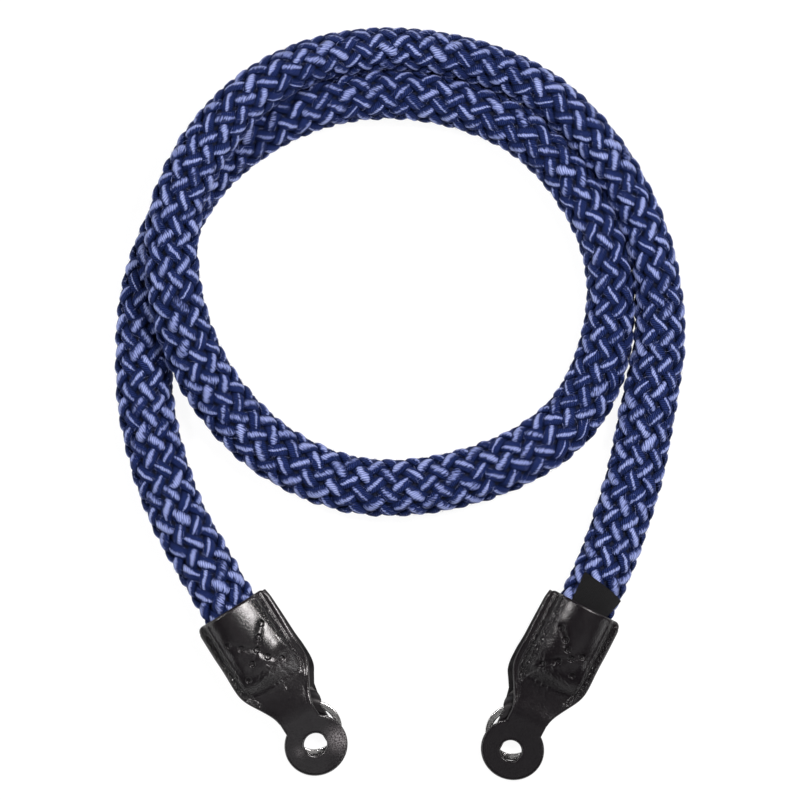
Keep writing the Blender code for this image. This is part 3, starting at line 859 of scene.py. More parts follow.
def make_strands(material, hand, strands, name):
    """Navy strands, flattened, waving over and under the ones that cross them."""
    step = LEAD / STRANDS / STRAND_STEPS
    start = ROPE_INSET - STRAND_START
    count = int((ROPE_LENGTH - 2 * start) / step)
    lengths = start + step * np.arange(count)
    draw = np.random.default_rng([SEED, 1, hand + 1, strands[0]])
    rows = [strand_path(hand, strand, lengths) for strand in strands]
    centres, normals, binormals, over = (np.array(column) for column in zip(*rows))
    wobble = draw.normal(0.0, 1.0, (len(strands), count // STRAND_STEPS + 3))
    places = np.arange(count) / STRAND_STEPS
    loose = np.array([np.interp(places, np.arange(row.size), row) for row in wobble])
    half_widths, half_heights = strand_widths(over)
    taper = np.clip(np.minimum(np.arange(count), count - 1 - np.arange(count)) / 3.0, 0.02, 1.0)
    half_widths = half_widths * (1.0 + 0.035 * loose) * taper
    angle = 2 * math.pi * np.arange(STRAND_SIDES) / STRAND_SIDES
    across = half_widths[..., None] * np.cos(angle)
    tall = (half_heights * taper)[..., None] * np.sin(angle)
    points, quads = tubes(centres, binormals, normals, across, tall)
    uvs = np.empty(across.shape + (2,))
    uvs[..., 0] = across / CM
    uvs[..., 1] = lengths[None, :, None] * math.hypot(1.0, GIRTH / LEAD) / CM
    # Tones for painted light and shade: 1 on each strand's upper side, 0 on its underside, and
    # lower where it dives under the strands that cross it
    painted_crest_shading = np.clip(np.sin(angle), 0.0, 1.0)[None, None]
    painted_crest_shading = painted_crest_shading * np.clip(0.6 + 0.4 * over, 0.0, 1.0)[..., None]
    mesh = fast_mesh(name, points, quads, uvs.reshape(-1, 2), painted_crest_shading.ravel())
    return add_piece(name, mesh, "strap", material)


def smooth_noise(draw, rows, stations, size):
    """Rows of gently varying random numbers."""
    raw = draw.normal(0.0, size, (rows, stations + 2))
    return (raw[:, :-2] + 2 * raw[:, 1:-1] + raw[:, 2:]) / 4 * 1.6


def fleck_places(hand, strands):
    """The middles of the floats of some strands, counted in crossings, and their strands."""
    start = ROPE_INSET - STRAND_START / 2
    stop = ROPE_LENGTH - start
    middles, owners = [], []
    for strand in strands:
        first = math.ceil(2 * STRANDS * (start / LEAD - strand / STRANDS))
        last = math.floor(2 * STRANDS * (stop / LEAD - strand / STRANDS))
        for crossing in range(first, last + 1):
            if (crossing % 2 == 0) == (hand > 0):
                middles.append(crossing)
                owners.append(strand)
    return np.array(middles, float)[:, None], np.array(owners, float)[:, None]


def make_flecks(material, hand, strands, name):
    """The light yarn on each float: a lumpy lens that follows the strand's upper side."""
    draw = np.random.default_rng([SEED, 2, hand + 1, strands[0]])
    middles, owners = fleck_places(hand, strands)
    count = len(middles)
    stations = FLECK_STEPS + 1
    share = np.linspace(-1.0, 1.0, stations)[None]
    reach = FLECK_REACH * np.clip(draw.normal(1.0, 0.09, (count, 1)), 0.75, 1.2)
    lengths = LEAD * ((middles + share * reach) / (2 * STRANDS) + owners / STRANDS)
    angles, over = strand_angle(hand, owners, lengths)
    centres, normals = rope_surface(lengths, angles, STRAND_DEPTH - STRAND_WAVE * over)
    normals, binormals = square_to(centres, normals)
    strand_half, strand_height = strand_widths(over)

    size = np.clip(draw.lognormal(-0.06, 0.30, (count, 1)), 0.45, 1.6)
    flank = np.clip((normals[:, FLECK_STEPS // 2, 2:] + 0.05) / 0.35, 0.0, 1.0)
    size = size * (0.70 + 0.30 * flank)
    table = np.array(FLECK_SIZES)
    size = size * np.interp(lengths[:, :1] / MM, table[:, 0], table[:, 1])
    size = size * (1.0 + 0.20 * np.sin(4.2 * angles[:, :1] + lengths[:, :1] / (45.0 * MM)))
    taper = np.clip(draw.normal(0.10, 0.30, (count, 1)), -0.60, 0.70)
    profile = (1.0 - np.abs(share) ** 3.0) ** 0.78 * (1.0 + taper * share) + 0.03
    lumps = 1.0 + smooth_noise(draw, count, stations, 0.14)
    half = FLECK_HALF_WIDTH * size * profile * lumps
    shift = draw.normal(0.0, 0.30 * MM, (count, 1))
    shift = shift + draw.normal(0.0, 0.34 * MM, (count, 1)) * share
    shift = shift + smooth_noise(draw, count, stations, 0.10 * MM)

    tops = FLECK_SIDES - 1
    place = np.sin(math.pi / 2 * np.linspace(-1.0, 1.0, tops))
    across = shift[..., None] + half[..., None] * place
    across = np.clip(across, -0.96 * strand_half[..., None], 0.96 * strand_half[..., None])
    surface = strand_height[..., None] * np.sqrt(1.0 - (across / strand_half[..., None]) ** 2)
    rise = FLECK_HEIGHT * (0.55 + 0.45 * size) * np.sqrt(profile)
    rise = rise * (1.0 + smooth_noise(draw, count, stations, 0.16))
    tall = surface - 0.06 * MM + rise[..., None] * np.sqrt(np.clip(1.0 - place**2, 0.0, 1.0))
    across = np.concatenate([across[..., ::-1], shift[..., None]], -1)
    under = (surface.min(-1) - 0.35 * MM)[..., None]
    tall = np.concatenate([tall[..., ::-1], under], -1)
    points, quads = tubes(centres, binormals, normals, across, tall)

    steps = np.linalg.norm(np.diff(centres, axis=1), axis=2)
    travel = np.concatenate([np.zeros((count, 1)), steps.cumsum(1)], 1)
    uvs = np.empty(across.shape + (2,))
    uvs[..., 0] = hand * across / CM
    uvs[..., 1] = (travel + lengths[:, :1] * 3)[..., None] / CM
    # Tones: a random brightness for each fleck, times painted shade: darker on the rope's steep
    # flanks, and darker towards the fleck's edges and the float's ends, where the yarn also frays
    # into the navy
    middle_tone = np.clip(draw.normal(0.84, 0.16, (count, 1)), 0.35, 1.0)
    tone_and_painted_shade = (1.0 - np.abs(share) ** 4) * middle_tone * (0.85 + 0.15 * flank)
    rim = np.append(1.0 - np.abs(place) ** 1.5, 0.0)
    tones = tone_and_painted_shade[..., None] * rim
    mesh = fast_mesh(name, points, quads, uvs.reshape(-1, 2), tones.ravel())
    return add_piece(name, mesh, "strap", material)


def make_hairs(material):
    """Short loose fibres over the braid, lying this way and that."""
    draw = np.random.default_rng([SEED, 4])
    share = np.linspace(0.0, 1.0, HAIR_STEPS)[None]
    margin = ROPE_INSET + HAIR_MARGIN
    starts = draw.uniform(margin, ROPE_LENGTH - margin, (HAIRS, 1))
    angles = draw.uniform(-0.35, math.pi + 0.35, (HAIRS, 1))
    reach = HAIR_LENGTH * draw.uniform(0.45, 1.0, (HAIRS, 1))
    hand = np.where(draw.random((HAIRS, 1)) < 0.5, 1.0, -1.0)
    way = hand * draw.normal(0.62, 0.30, (HAIRS, 1))
    curl = draw.normal(0.0, 0.35, (HAIRS, 1))
    lengths = starts + reach * share * np.cos(way)
    around = angles + 2 * math.pi * reach / GIRTH * (share * np.sin(way) + curl * share**2)
    height = draw.uniform(-0.10, 0.45, (HAIRS, 1)) * MM
    depth = 0.45 * MM - (height + 0.45 * MM) * np.sin(math.pi * (0.12 + 0.80 * share))
    centres, normals = rope_surface(lengths, around, depth)
    normals, binormals = square_to(centres, normals)
    turns = 2 * math.pi * np.arange(3) / 3
    thick = HAIR_RADIUS * draw.uniform(0.7, 1.3, (HAIRS, 1)) * (1.0 - 0.6 * share)
    across = thick[..., None] * np.cos(turns)
    tall = thick[..., None] * np.sin(turns)
    points, quads = tubes(centres, binormals, normals, across, tall)
    tones = np.broadcast_to(draw.random((HAIRS, 1, 1)) ** 1.3, across.shape)
    mesh = fast_mesh("hairs", points, quads, None, tones)
    return add_piece("hairs", mesh, "strap", material)


def make_rope():
    """The whole rope: core, strands, flecks and loose fibres."""
    navy = navy_material()
    light = fleck_material()
    core = make_core(core_material())
    for hand, word in ((1, "right"), (-1, "left")):
        for part, strands in enumerate(((0, 1, 2, 3), (4, 5, 6))):
            make_strands(navy, hand, strands, f"strands_{word}_{part + 1}")
            make_flecks(light, hand, strands, f"flecks_{word}_{part + 1}")
    make_hairs(hair_material())


def plane_height(along):
    """Lower face of the straight stretch from the ring's near side to the tab's tip."""
    return RING_HEIGHT + GAP + (PLANE_END - along) * PLANE_SLOPE


def soft_arch(share, reach=FLANGE_START):
    """The front leather's cross section: 1 over the middle, 0 on the sewn edge."""
    inner = 1.0 - (np.abs(share) / reach) ** 2
    soft = np.logaddexp(0.0, inner * 28.0) / 28.0
    return soft / np.sqrt(soft + 0.10 * np.exp(-soft / 0.10))


def over(height, least):
    """A height raised softly to a least one."""
    return least + SOFT_STEP * math.log1p(math.exp((height - least) / SOFT_STEP))


class FrontShape:
    """The front leather's outline and lower face, from the table of sections."""

    def __init__(self, end):
        cover = SEAT + SQUEEZED + GAP + end["label"]
        rows = []
        for along, half, rope, edge, stack, loop in FRONT_ROWS:
            base = SEAT + stack * (NECK_LEVEL - SEAT) + loop * (HUMP_LEVEL - NECK_LEVEL)
            middle = base + rope * (cover - SEAT)
            side = base + edge * (FLANGE_LEVEL + GAP / 2 - SEAT)
            middle = over(middle, NECK_FILL)
            side = over(side, EDGE_FILL)
            rows.append((along * HOLE_DISTANCE, half * SLEEVE_HALF_WIDTH, middle, side))
        neck = NECK_HALF_WIDTH * SLEEVE_HALF_WIDTH
        level = plane_height(PLANE_START)
        rows.append((PLANE_START, neck, level, level))
        table = np.array(rows)
        step = 0.1 * MM
        sleeve = np.arange(0.0, PLANE_START, step)
        values = cubic(table[:, 0], table[:, 1:], gentle_slopes(table[:, 0], table[:, 1:]), sleeve)
        reach = int(3 * PROFILE_SOFTNESS / step)
        ahead = sleeve[-1] + step * np.arange(1, 2 * reach + 1)
        self.places = np.concatenate([sleeve, ahead[:reach]])
        flat = plane_height(ahead)
        after = np.column_stack([np.full(2 * reach, neck), flat, flat])
        before = 2 * values[0] - values[reach:0:-1]
        joined = np.concatenate([before, values, after])
        weights = np.exp(-((step * np.arange(-reach, reach + 1) / PROFILE_SOFTNESS) ** 2) / 2)
        weights /= weights.sum()
        self.values = np.array([np.convolve(column, weights, "valid") for column in joined.T]).T
        self.neck = neck
        self.crown = end["crown"]

    def section(self, along):
        """Half width, middle height and edge height at places along the sleeve."""
        wanted = np.atleast_1d(along)
        return np.array([np.interp(wanted, self.places, column) for column in self.values.T]).T

    def half_width(self, along):
        """Half of the leather's width at places along the sleeve."""
        return self.section(along.ravel())[:, 0].reshape(along.shape)

    def slopes(self, along, across, step):
        """How steeply the lower face rises along and across, measured over a small step."""
        rise_along = self.lower(along + step, across) - self.lower(along - step, across)
        rise_across = self.lower(along, across + step) - self.lower(along, across - step)
        return rise_along / (2 * step), rise_across / (2 * step)

    def lower(self, along, across):
        """Height of the lower face."""
        along = np.asarray(along, float)
        row = self.section(along.ravel())
        half = np.maximum(row[:, 0], 1e-6)
        crown = self.crown * half / SLEEVE_HALF_WIDTH
        beside = across.ravel() - crown
        reach = np.where(beside > 0, RING_SIDE_REACH * half - crown, FAR_SIDE_REACH * half + crown)
        height = row[:, 2] + (row[:, 1] - row[:, 2]) * soft_arch(beside, reach)
        tab = plane_height(along.ravel())
        return np.where(along.ravel() > self.places[-1], tab, height).reshape(along.shape)

    def outline(self):
        """Half of the outline, from the mouth's middle round to the tab's tip."""
        corner = 1.9 * MM
        half = self.section(np.array([0.0]))[0, 0]
        points = [(0.0, half * k / 12) for k in range(12) if half * k / 12 < half - corner]
        for k in range(7):
            turn = math.pi / 2 * k / 6
            side = half - corner + corner * math.sin(turn)
            points.append((corner - corner * math.cos(turn), side))
        for along in np.arange(corner + 0.5 * MM, PLANE_START, 0.5 * MM):
            points.append((along, self.section(np.array([along]))[0, 0]))
        start = math.asin(self.neck / TAB_RADIUS)
        join = HOLE_DISTANCE - TAB_RADIUS * math.cos(start) * math.cos(TAB_TILT)
        for along in np.arange(PLANE_START, join - 0.2 * MM, 0.5 * MM):
            points.append((along, self.neck))
        for k in range(45):
            turn = start + (math.pi - start) * k / 44
            along = HOLE_DISTANCE - TAB_RADIUS * math.cos(turn) * math.cos(TAB_TILT)
            points.append((along, TAB_RADIUS * math.sin(turn)))
        return np.array(points)


def wall_height(slope_along, slope_across):
    """How high the leather's slanting wall is, measured straight up through it."""
    return LEATHER * np.sqrt(1 + np.minimum(slope_along**2 + slope_across**2, STEEPEST))


def closed_outline(half):
    """A half outline and its mirror image, as one loop that runs one way."""
    mirror = half[::-1].copy()
    mirror[:, 1] *= -1
    return np.concatenate([half, mirror[1:-1]])


def inset_loop(loop, distance):
    """A loop moved inwards; its points run with the inside on their right."""
    tangent = unit(np.roll(loop, -1, 0) - np.roll(loop, 1, 0))
    return loop + np.column_stack([tangent[:, 1], -tangent[:, 0]]) * distance


def plate_triangles(loop, holes, insets, dimples):
    """Flat points, their distance from the edge and the triangles of a plate with holes."""
    spacing = PLATE_SPACING
    points, edges, depth = [], [], []

    def add_loop(line, deep, joined):
        first = len(points)
        points.extend(line.tolist())
        depth.extend([deep] * len(line))
        if joined:
            count = len(line)
            edges.extend((first + k, first + (k + 1) % count) for k in range(count))

    add_loop(loop, 0.0, True)
    for hole in holes:
        add_loop(hole, 0.0, True)
    for inset in insets:
        add_loop(inset_loop(loop, inset), inset, False)
        for hole in holes:
            add_loop(inset_loop(hole, inset), inset, False)
    for line in CREASE_LINES:
        add_loop(inset_loop(loop, line * MM), 1.0, False)
    turns = 2 * math.pi * np.arange(22) / 22
    for dimple in dimples:
        for radius in HOLE_RINGS:
            ring = np.array(dimple) + radius * MM * np.column_stack([np.cos(turns), np.sin(turns)])
            add_loop(ring, 1.0, False)
    border = np.concatenate([loop] + holes)
    low, high = loop.min(0), loop.max(0)
    xs = np.arange(low[0], high[0], spacing)
    ys = np.arange(low[1], high[1], spacing * 0.9)
    grid = np.array([(x + (j % 2) * spacing / 2, y) for j, y in enumerate(ys) for x in xs])
    near = np.array([np.min((border[:, 0] - x) ** 2 + (border[:, 1] - y) ** 2) for x, y in grid])
    inside = np.array([point_inside(point, loop) for point in grid])
    for hole in holes:
        middle = hole.mean(0)
        radius = np.linalg.norm(hole[0] - middle)
        inside &= np.linalg.norm(grid - middle, axis=1) > radius
    for dimple in dimples:
        inside &= np.linalg.norm(grid - np.array(dimple), axis=1) > (HOLE_RINGS[-1] + 0.12) * MM
    rim = np.array([np.min((loop[:, 0] - x) ** 2 + (loop[:, 1] - y) ** 2) for x, y in grid])
    inside &= np.abs(np.sqrt(rim) - CREASE_MIDDLE) > CREASE_CLEARANCE
    keep = inside & (near > (insets[-1] + 0.5 * spacing) ** 2)
    points.extend(grid[keep].tolist())
    depth.extend([1.0] * int(keep.sum()))
    flat = [Vector(point) for point in points]
    made = delaunay_2d_cdt(flat, edges, [], 1, 1e-9)
    out = np.array([tuple(point) for point in made[0]])
    source = [owners[0] if owners else -1 for owners in made[3]]
    deep = np.array([depth[k] if k >= 0 else 1.0 for k in source])
    faces = []
    for face in made[2]:
        middle = out[list(face)].mean(0)
        if not any(inside_hole(middle, hole) for hole in holes):
            faces.append(face)
    return out, deep, np.array(faces)


def inside_hole(point, hole):
    """True where a flat point lies inside a round hole."""
    middle = hole.mean(0)
    return np.linalg.norm(point - middle) < np.linalg.norm(hole[0] - middle) * 0.995


def point_inside(point, loop):
    """True where a flat point lies inside a loop."""
    x, y = point
    ahead = np.roll(loop, -1, 0)
    crosses = (loop[:, 1] > y) != (ahead[:, 1] > y)
    if not crosses.any():
        return False
    first, second = loop[crosses], ahead[crosses]
    run, rise = (second - first).T
    reach = first[:, 0] + (y - first[:, 1]) * run / rise
    return bool((reach > x).sum() % 2)


def cross_stitches(end):
    """The holes of the two crossed rows of stitches over the rope: along, across."""
    return [[(along * MM, across * MM) for along, across in row] for row in end["cross"]]


def ripples(draw, along, across, shortest, longest, count=28):
    """An even field of small bumps between about -1 and 1, from crossing waves."""
    field = np.zeros_like(along)
    for _ in range(count):
        length = draw.uniform(shortest, longest)
        way = draw.uniform(0.0, 2 * math.pi)
        start = draw.uniform(0.0, 2 * math.pi)
        travel = along * math.cos(way) + across * math.sin(way)
        field += np.sin(2 * math.pi * travel / length + start)
    return field / math.sqrt(count)


def seam_line(shape, inset, first, last, spacing, sign):
    """Holes of the seam beside an edge, on one side of the leather: along, across."""
    places = np.arange(first, last, 0.1 * MM)
    halves = shape.section(places)[:, 0] - inset
    steps = np.hypot(np.diff(places), np.diff(halves)).cumsum()
    steps = np.concatenate([[0.0], steps])
    count = int(steps[-1] / spacing)
    wanted = np.linspace(0.0, steps[-1], count + 1)
    along = np.interp(wanted, steps, places)
    across = np.interp(wanted, steps, halves) * sign
    return list(zip(along, across))


def hollow(distance, reach):
    """A soft dip: 1 in its middle."""
    return np.exp(-((distance / reach) ** 2))


def step_up(value, start, stop):
    """0 before the start, 1 after the stop, smooth between."""
    share = np.clip((value - start) / (stop - start), 0.0, 1.0)
    return share * share * (3 - 2 * share)


def pebbled(end, shape, along, across):
    """Where the front leather is pebbled: 1 on its steep sides, less on its lower middle."""
    half = shape.half_width(along)
    inside = half - np.abs(across)
    margin = np.where(across > 0, CREASE_INSET + 0.25 * MM, 0.5 * MM)
    first = np.where(across > 0, end["smooth"][0] * MM + end["smooth"][1] * along, 0.70 * half)
    steep = step_up(np.abs(across), first, first + 0.8 * MM)
    lower = 0.12 * step_up(along, 22.0 * MM, 26.0 * MM)
    share = np.maximum(steep, lower) * step_up(inside, margin, margin + 0.4 * MM)
    share = share * (1.0 - step_up(along, 28.5 * MM, 33.0 * MM))
    return np.maximum(share, 0.30 * skived(along, across) if end["skive"] else 0.0)


def skived(along, across):
    """How far towards its thin ring side a place on the tab lies: 0 to 1."""
    ring_way = 0.53 * (along - HOLE_DISTANCE) + 0.85 * across
    share = np.clip((ring_way - SKIVE_START) / (TAB_RADIUS - SKIVE_START), 0.0, 1.0)
    return share**1.6 * step_up(along, 40.0 * MM, 44.0 * MM)


def front_relief(end, shape, along, across):
    """How far the outer face stands above or below the plain leather."""
    draw = np.random.default_rng([SEED, 3, end["hand"] + 1])
    relief = np.zeros_like(along)
    rows = cross_stitches(end)
    valleys = np.zeros_like(along)
    for row in rows:
        for (a0, c0), (a1, c1) in zip(row, row[1:]):
            span = (a1 - a0) ** 2 + (c1 - c0) ** 2
            t = np.clip(((along - a0) * (a1 - a0) + (across - c0) * (c1 - c0)) / span, 0.0, 1.0)
            distance = np.hypot(along - a0 - t * (a1 - a0), across - c0 - t * (c1 - c0))
            valleys = np.maximum(valleys, hollow(distance, VALLEY_REACH))
    relief -= end["valley"] * valleys * (0.45 + 0.55 * step_up(across, -2.0 * MM, 1.0 * MM))
    for a0, c0 in sorted({hole for row in rows for hole in row}):
        distance = np.hypot(along - a0, across - c0)
        rim = step_up(distance, HOLE_RADIUS - 0.24 * MM, HOLE_RADIUS + 0.16 * MM)
        relief -= HOLE_DEPTH * (1.0 - rim)
        relief += 0.04 * MM * hollow(distance - HOLE_RADIUS - 0.42 * MM, 0.26 * MM)
    for a0, c0, reach, height in end["puffs"]:
        relief += height * MM * hollow(np.hypot(along - a0 * MM, across - c0 * MM), reach * MM)
    for _ in range(WRINKLES):
        fan = draw.uniform(-1.25, 1.05)
        a0 = 22.5 * MM + draw.uniform(0.0, 6.0) * MM * math.cos(fan)
        c0 = 2.0 * MM + draw.uniform(-3.5, 3.5) * MM + 4.0 * MM * math.sin(fan)
        reach = draw.uniform(1.6, 3.6) * MM
        width = draw.uniform(0.22, 0.40) * MM
        deep = draw.uniform(0.05, 0.12) * MM
        u = (along - a0) * math.sin(fan) - (across - c0) * math.cos(fan)
        v = (along - a0) * math.cos(fan) + (across - c0) * math.sin(fan)
        u = u + draw.normal(0.0, 0.05) * v * v / MM
        fold = hollow(u, width) - 0.6 * hollow(u - 1.7 * width, 1.3 * width)
        relief -= deep * fold * hollow(v, reach)
    half = shape.half_width(along)
    inside = half - np.abs(across)
    ring_side = step_up(across, 2.0 * MM, 4.0 * MM)
    sewn = step_up(along, 1.0 * MM, 2.2 * MM) * (1.0 - step_up(along, 27.0 * MM, 30.0 * MM))
    relief -= SEAM_DEPTH * sewn * (1.0 - ring_side) * hollow(inside - SEAM_INSET, 0.36 * MM)
    flap = ring_side * (1.0 - step_up(along, 29.0 * MM, 34.0 * MM))
    past = step_up(inside, CREASE_INSET - 0.10 * MM, CREASE_INSET + 0.10 * MM)
    relief -= CREASE_DROP * flap * (1.0 - past)
    relief += 0.06 * MM * flap * hollow(inside - CREASE_INSET - 0.22 * MM, 0.20 * MM)
    flank = pebbled(end, shape, along, across)
    relief += 0.060 * MM * flank * ripples(draw, along, across, 0.8 * MM, 1.6 * MM)
    relief += 0.003 * MM * ripples(draw, along, across, 1.8 * MM, 4.5 * MM)
    relief -= end["skive"] * skived(along, across)
    return relief


def make_front(end, material):
    """Front leather: one plate with rounded edges over the rope, the ring and the tab."""
    shape = FrontShape(end)
    loop = closed_outline(shape.outline())
    turns = 2 * math.pi * np.arange(56) / 56
    radius = end["hole_radius"]
    hole_along, hole_across = end["hole_shift"]
    hole = np.column_stack([
        HOLE_DISTANCE + hole_along * MM - radius * np.cos(turns) * math.cos(TAB_TILT),
        hole_across * MM - radius * np.sin(turns),
    ])
    edge = LEATHER / 2
    insets = [edge * (1 - math.cos(turn)) for turn in (0.35, 0.75, 1.15, 1.57)]
    dimples = sorted({place for row in cross_stitches(end) for place in row})
    flat, depth, faces = plate_triangles(loop, [hole], insets, dimples)
    along, across = flat[:, 0], flat[:, 1]
    lower = shape.lower(along, across)
    near = np.clip(depth / edge, 0.0, 1.0)
    round_share = np.sqrt(1.0 - (1.0 - near) ** 2)
    relief = front_relief(end, shape, along, across)
    thick = wall_height(*shape.slopes(along, across, 0.05 * MM))
    middle = lower + thick / 2
    top = middle + thick / 2 * round_share + relief * round_share
    bottom = middle - thick / 2 * round_share
    count = len(flat)
    rim = depth <= 1e-9
    upper = end_points(end, along, across, top)
    under = end_points(end, along, across, bottom)
    renumber = np.where(rim, np.arange(count), np.arange(count) + count)
    points = np.concatenate([upper, under])
    faces_top, faces_bottom = faces, renumber[faces][:, ::-1]
    if end["hand"] < 0:
        faces_top, faces_bottom = faces[:, ::-1], renumber[faces]
    tones = np.concatenate([np.clip(1.0 - depth / (0.30 * MM), 0.0, 1.0)] * 2)
    grains = np.concatenate([0.08 + 0.92 * pebbled(end, shape, along, across)] * 2)
    sheets = np.concatenate([faces_top, faces_bottom])
    # Pale mottled spots of painted sheen round the tab's hole and on the sleeve
    painted_sheen_values = np.zeros(2 * count)
    for a0, c0, reach, much in end["painted_sheen"]:
        spot = hollow(np.hypot(along - HOLE_DISTANCE - a0 * MM, across - c0 * MM), reach * MM)
        painted_sheen_values[:count] = np.maximum(painted_sheen_values[:count], much * spot)
    mesh = fast_mesh(f"leather_front_{end['side']}", points, sheets, None, tones, grains, painted_sheen_values)
    shape_mesh = bmesh.new()
    shape_mesh.from_mesh(mesh)
    spare = [vert for vert in shape_mesh.verts if not vert.link_faces]
    bmesh.ops.delete(shape_mesh, geom=spare, context="VERTS")
    bmesh.ops.recalc_face_normals(shape_mesh, faces=shape_mesh.faces)
    shape_mesh.to_mesh(mesh)
    shape_mesh.free()
    mesh.shade_smooth()
    name = f"front_{end['side']}"
    piece = add_piece(name, mesh, "strap", material, [f"leather_front_{end['side']}"])
    return piece, shape


def strip_rows(end, shares):
    """Rows of points on the back leather's inner face, as in the CAD model but finer."""
    def strip(along, half, height, reach=0.0):
        ring_half = min(half * STRIP_SIDE_WIDENING, 0.90 * RING_BORE)
        across = shares * np.where(shares > 0, ring_half, half)
        sag = RING_BORE - np.sqrt(RING_BORE**2 - across**2)
        slack = reach * np.clip(shares, 0.0, 1.0) ** 2
        return end_points(end, along + sag + slack, RING_OFFSET + across, height)

    table = np.array(BACK_ROWS)
    places = table[:, 0] * HOLE_DISTANCE
    slopes = gentle_slopes(places, table[:, 1:])
    rows = []
    for along in np.linspace(places[0], places[-1], 64):
        half, edge, shift = cubic(places, table[:, 1:], slopes, np.array([along]))[0]
        level = LEATHER + edge * (FLANGE_LEVEL - GAP / 2 - LEATHER)
        across = shares * half * SLEEVE_HALF_WIDTH + shift * RING_OFFSET
        height = level + (LEATHER - level) * soft_arch(across / (half * SLEEVE_HALF_WIDTH))
        rows.append(end_points(end, along, across, height))
    near = RING_DISTANCE - RING_RADIUS
    fold = RING_DISTANCE - RING_BORE
    rows.append(strip(near, STRIP_NEAR_WIDENING * STRIP_HALF_WIDTH, LEATHER))
    rows.append(strip(fold, STRIP_FOLD_WIDENING * STRIP_HALF_WIDTH, LEATHER))
    radius = LOOP_HEIGHT / 2
    for k in range(1, 15):
        turn = math.pi * k / 14
        slack = STRIP_SLACK * math.sin(turn)
        level = LEATHER + radius * (1 - math.cos(turn))
        rows.append(strip(fold + radius * math.sin(turn), STRIP_HALF_WIDTH, level, slack))
    for back, rise in TAIL_ROWS:
        level = SEAT + rise * (LOOP_LEVEL - SEAT)
        rows.append(strip(RING_DISTANCE - back * RING_RADIUS, STRIP_HALF_WIDTH, level))
    return np.array(rows)


def make_back(end, material):
    """Back leather: under the rope, sewn to the front, folded through the ring and back."""
    shares = np.sin(math.pi / 2 * np.linspace(-1.0, 1.0, 45))
    rows = strip_rows(end, shares)
    name = f"back_{end['side']}"
    mesh = grid_mesh(name, rows, None, np.zeros(rows[..., 0].size), end["hand"] < 0)
    piece = add_piece(name, mesh, "strap", material, [f"leather_back_{end['side']}"])
    thicken(piece, LEATHER, True, 0.42 * MM, 3)
    return piece


def capsule_points(start, stop, lift, radius, sides=8, steps=9):
    """A stitch: a short bent tube from one hole to the next, raised in its middle."""
    start, stop, lift = (np.asarray(value, float) for value in (start, stop, lift))
    span = stop - start
    shares = np.linspace(0.0, 1.0, steps)
    bow = np.sin(math.pi * shares)
    centres = start + shares[:, None] * span + lift[None] * (bow[:, None] - 0.35)
    normals, binormals = square_to(centres, unit(lift))
    swell = radius * (0.55 + 0.45 * np.sqrt(bow))
    angle = 2 * math.pi * np.arange(sides) / sides
    across = swell[None, :, None] * np.cos(angle)
    tall = swell[None, :, None] * np.sin(angle)
    return tubes(centres[None], binormals[None], normals[None], across, tall)


def front_top(end, shape, along, across):
    """A point on the front leather's outer face, and the way out of it."""
    along = np.array([along])
    across = np.array([across])
    base = float(shape.lower(along, across)[0])
    slope_a, slope_c = (float(slope[0]) for slope in shape.slopes(along, across, 0.2 * MM))
    relief = float(front_relief(end, shape, along, across)[0])
    height = base + wall_height(slope_a, slope_c) + relief
    place = end_points(end, along[0], across[0], height)
    ahead = end_points(end, 1.0, 0.0, 0.0) - end_points(end, 0.0, 0.0, 0.0)
    beside = end_points(end, 0.0, 1.0, 0.0) - end_points(end, 0.0, 0.0, 0.0)
    way = np.array([0.0, 0.0, 1.0]) - slope_a * ahead - slope_c * beside
    return place, way / np.linalg.norm(way)


def make_thread(end, shape, material):
    """All the visible stitches of one end."""
    parts = []
    size = 0

    def stitch(row, k, radius, rise, cut):
        nonlocal size
        (a0, c0), (a1, c1) = row[k], row[k + 1]
        p0, n0 = front_top(end, shape, a0 + (a1 - a0) * cut, c0 + (c1 - c0) * cut)
        p1, n1 = front_top(end, shape, a1 - (a1 - a0) * cut, c1 - (c1 - c0) * cut)
        points, quads = capsule_points(p0, p1, unit(n0 + n1) * rise, radius)
        parts.append((points, quads + size))
        size += len(points)

    for row in cross_stitches(end):
        for k in range(len(row) - 1):
            stitch(row, k, 0.34 * MM, 0.36 * MM, 0.14)
    row = seam_line(shape, SEAM_INSET, 2.4 * MM, 27.5 * MM, 2.9 * MM, -1)
    for k in range(len(row) - 1):
        stitch(row, k, 0.25 * MM, 0.14 * MM, 0.20)
    points = np.concatenate([part[0] for part in parts])
    quads = np.concatenate([part[1] for part in parts])
    mesh = fast_mesh(f"thread_{end['side']}", points, quads)
    return add_piece(f"thread_{end['side']}", mesh, "strap", material)


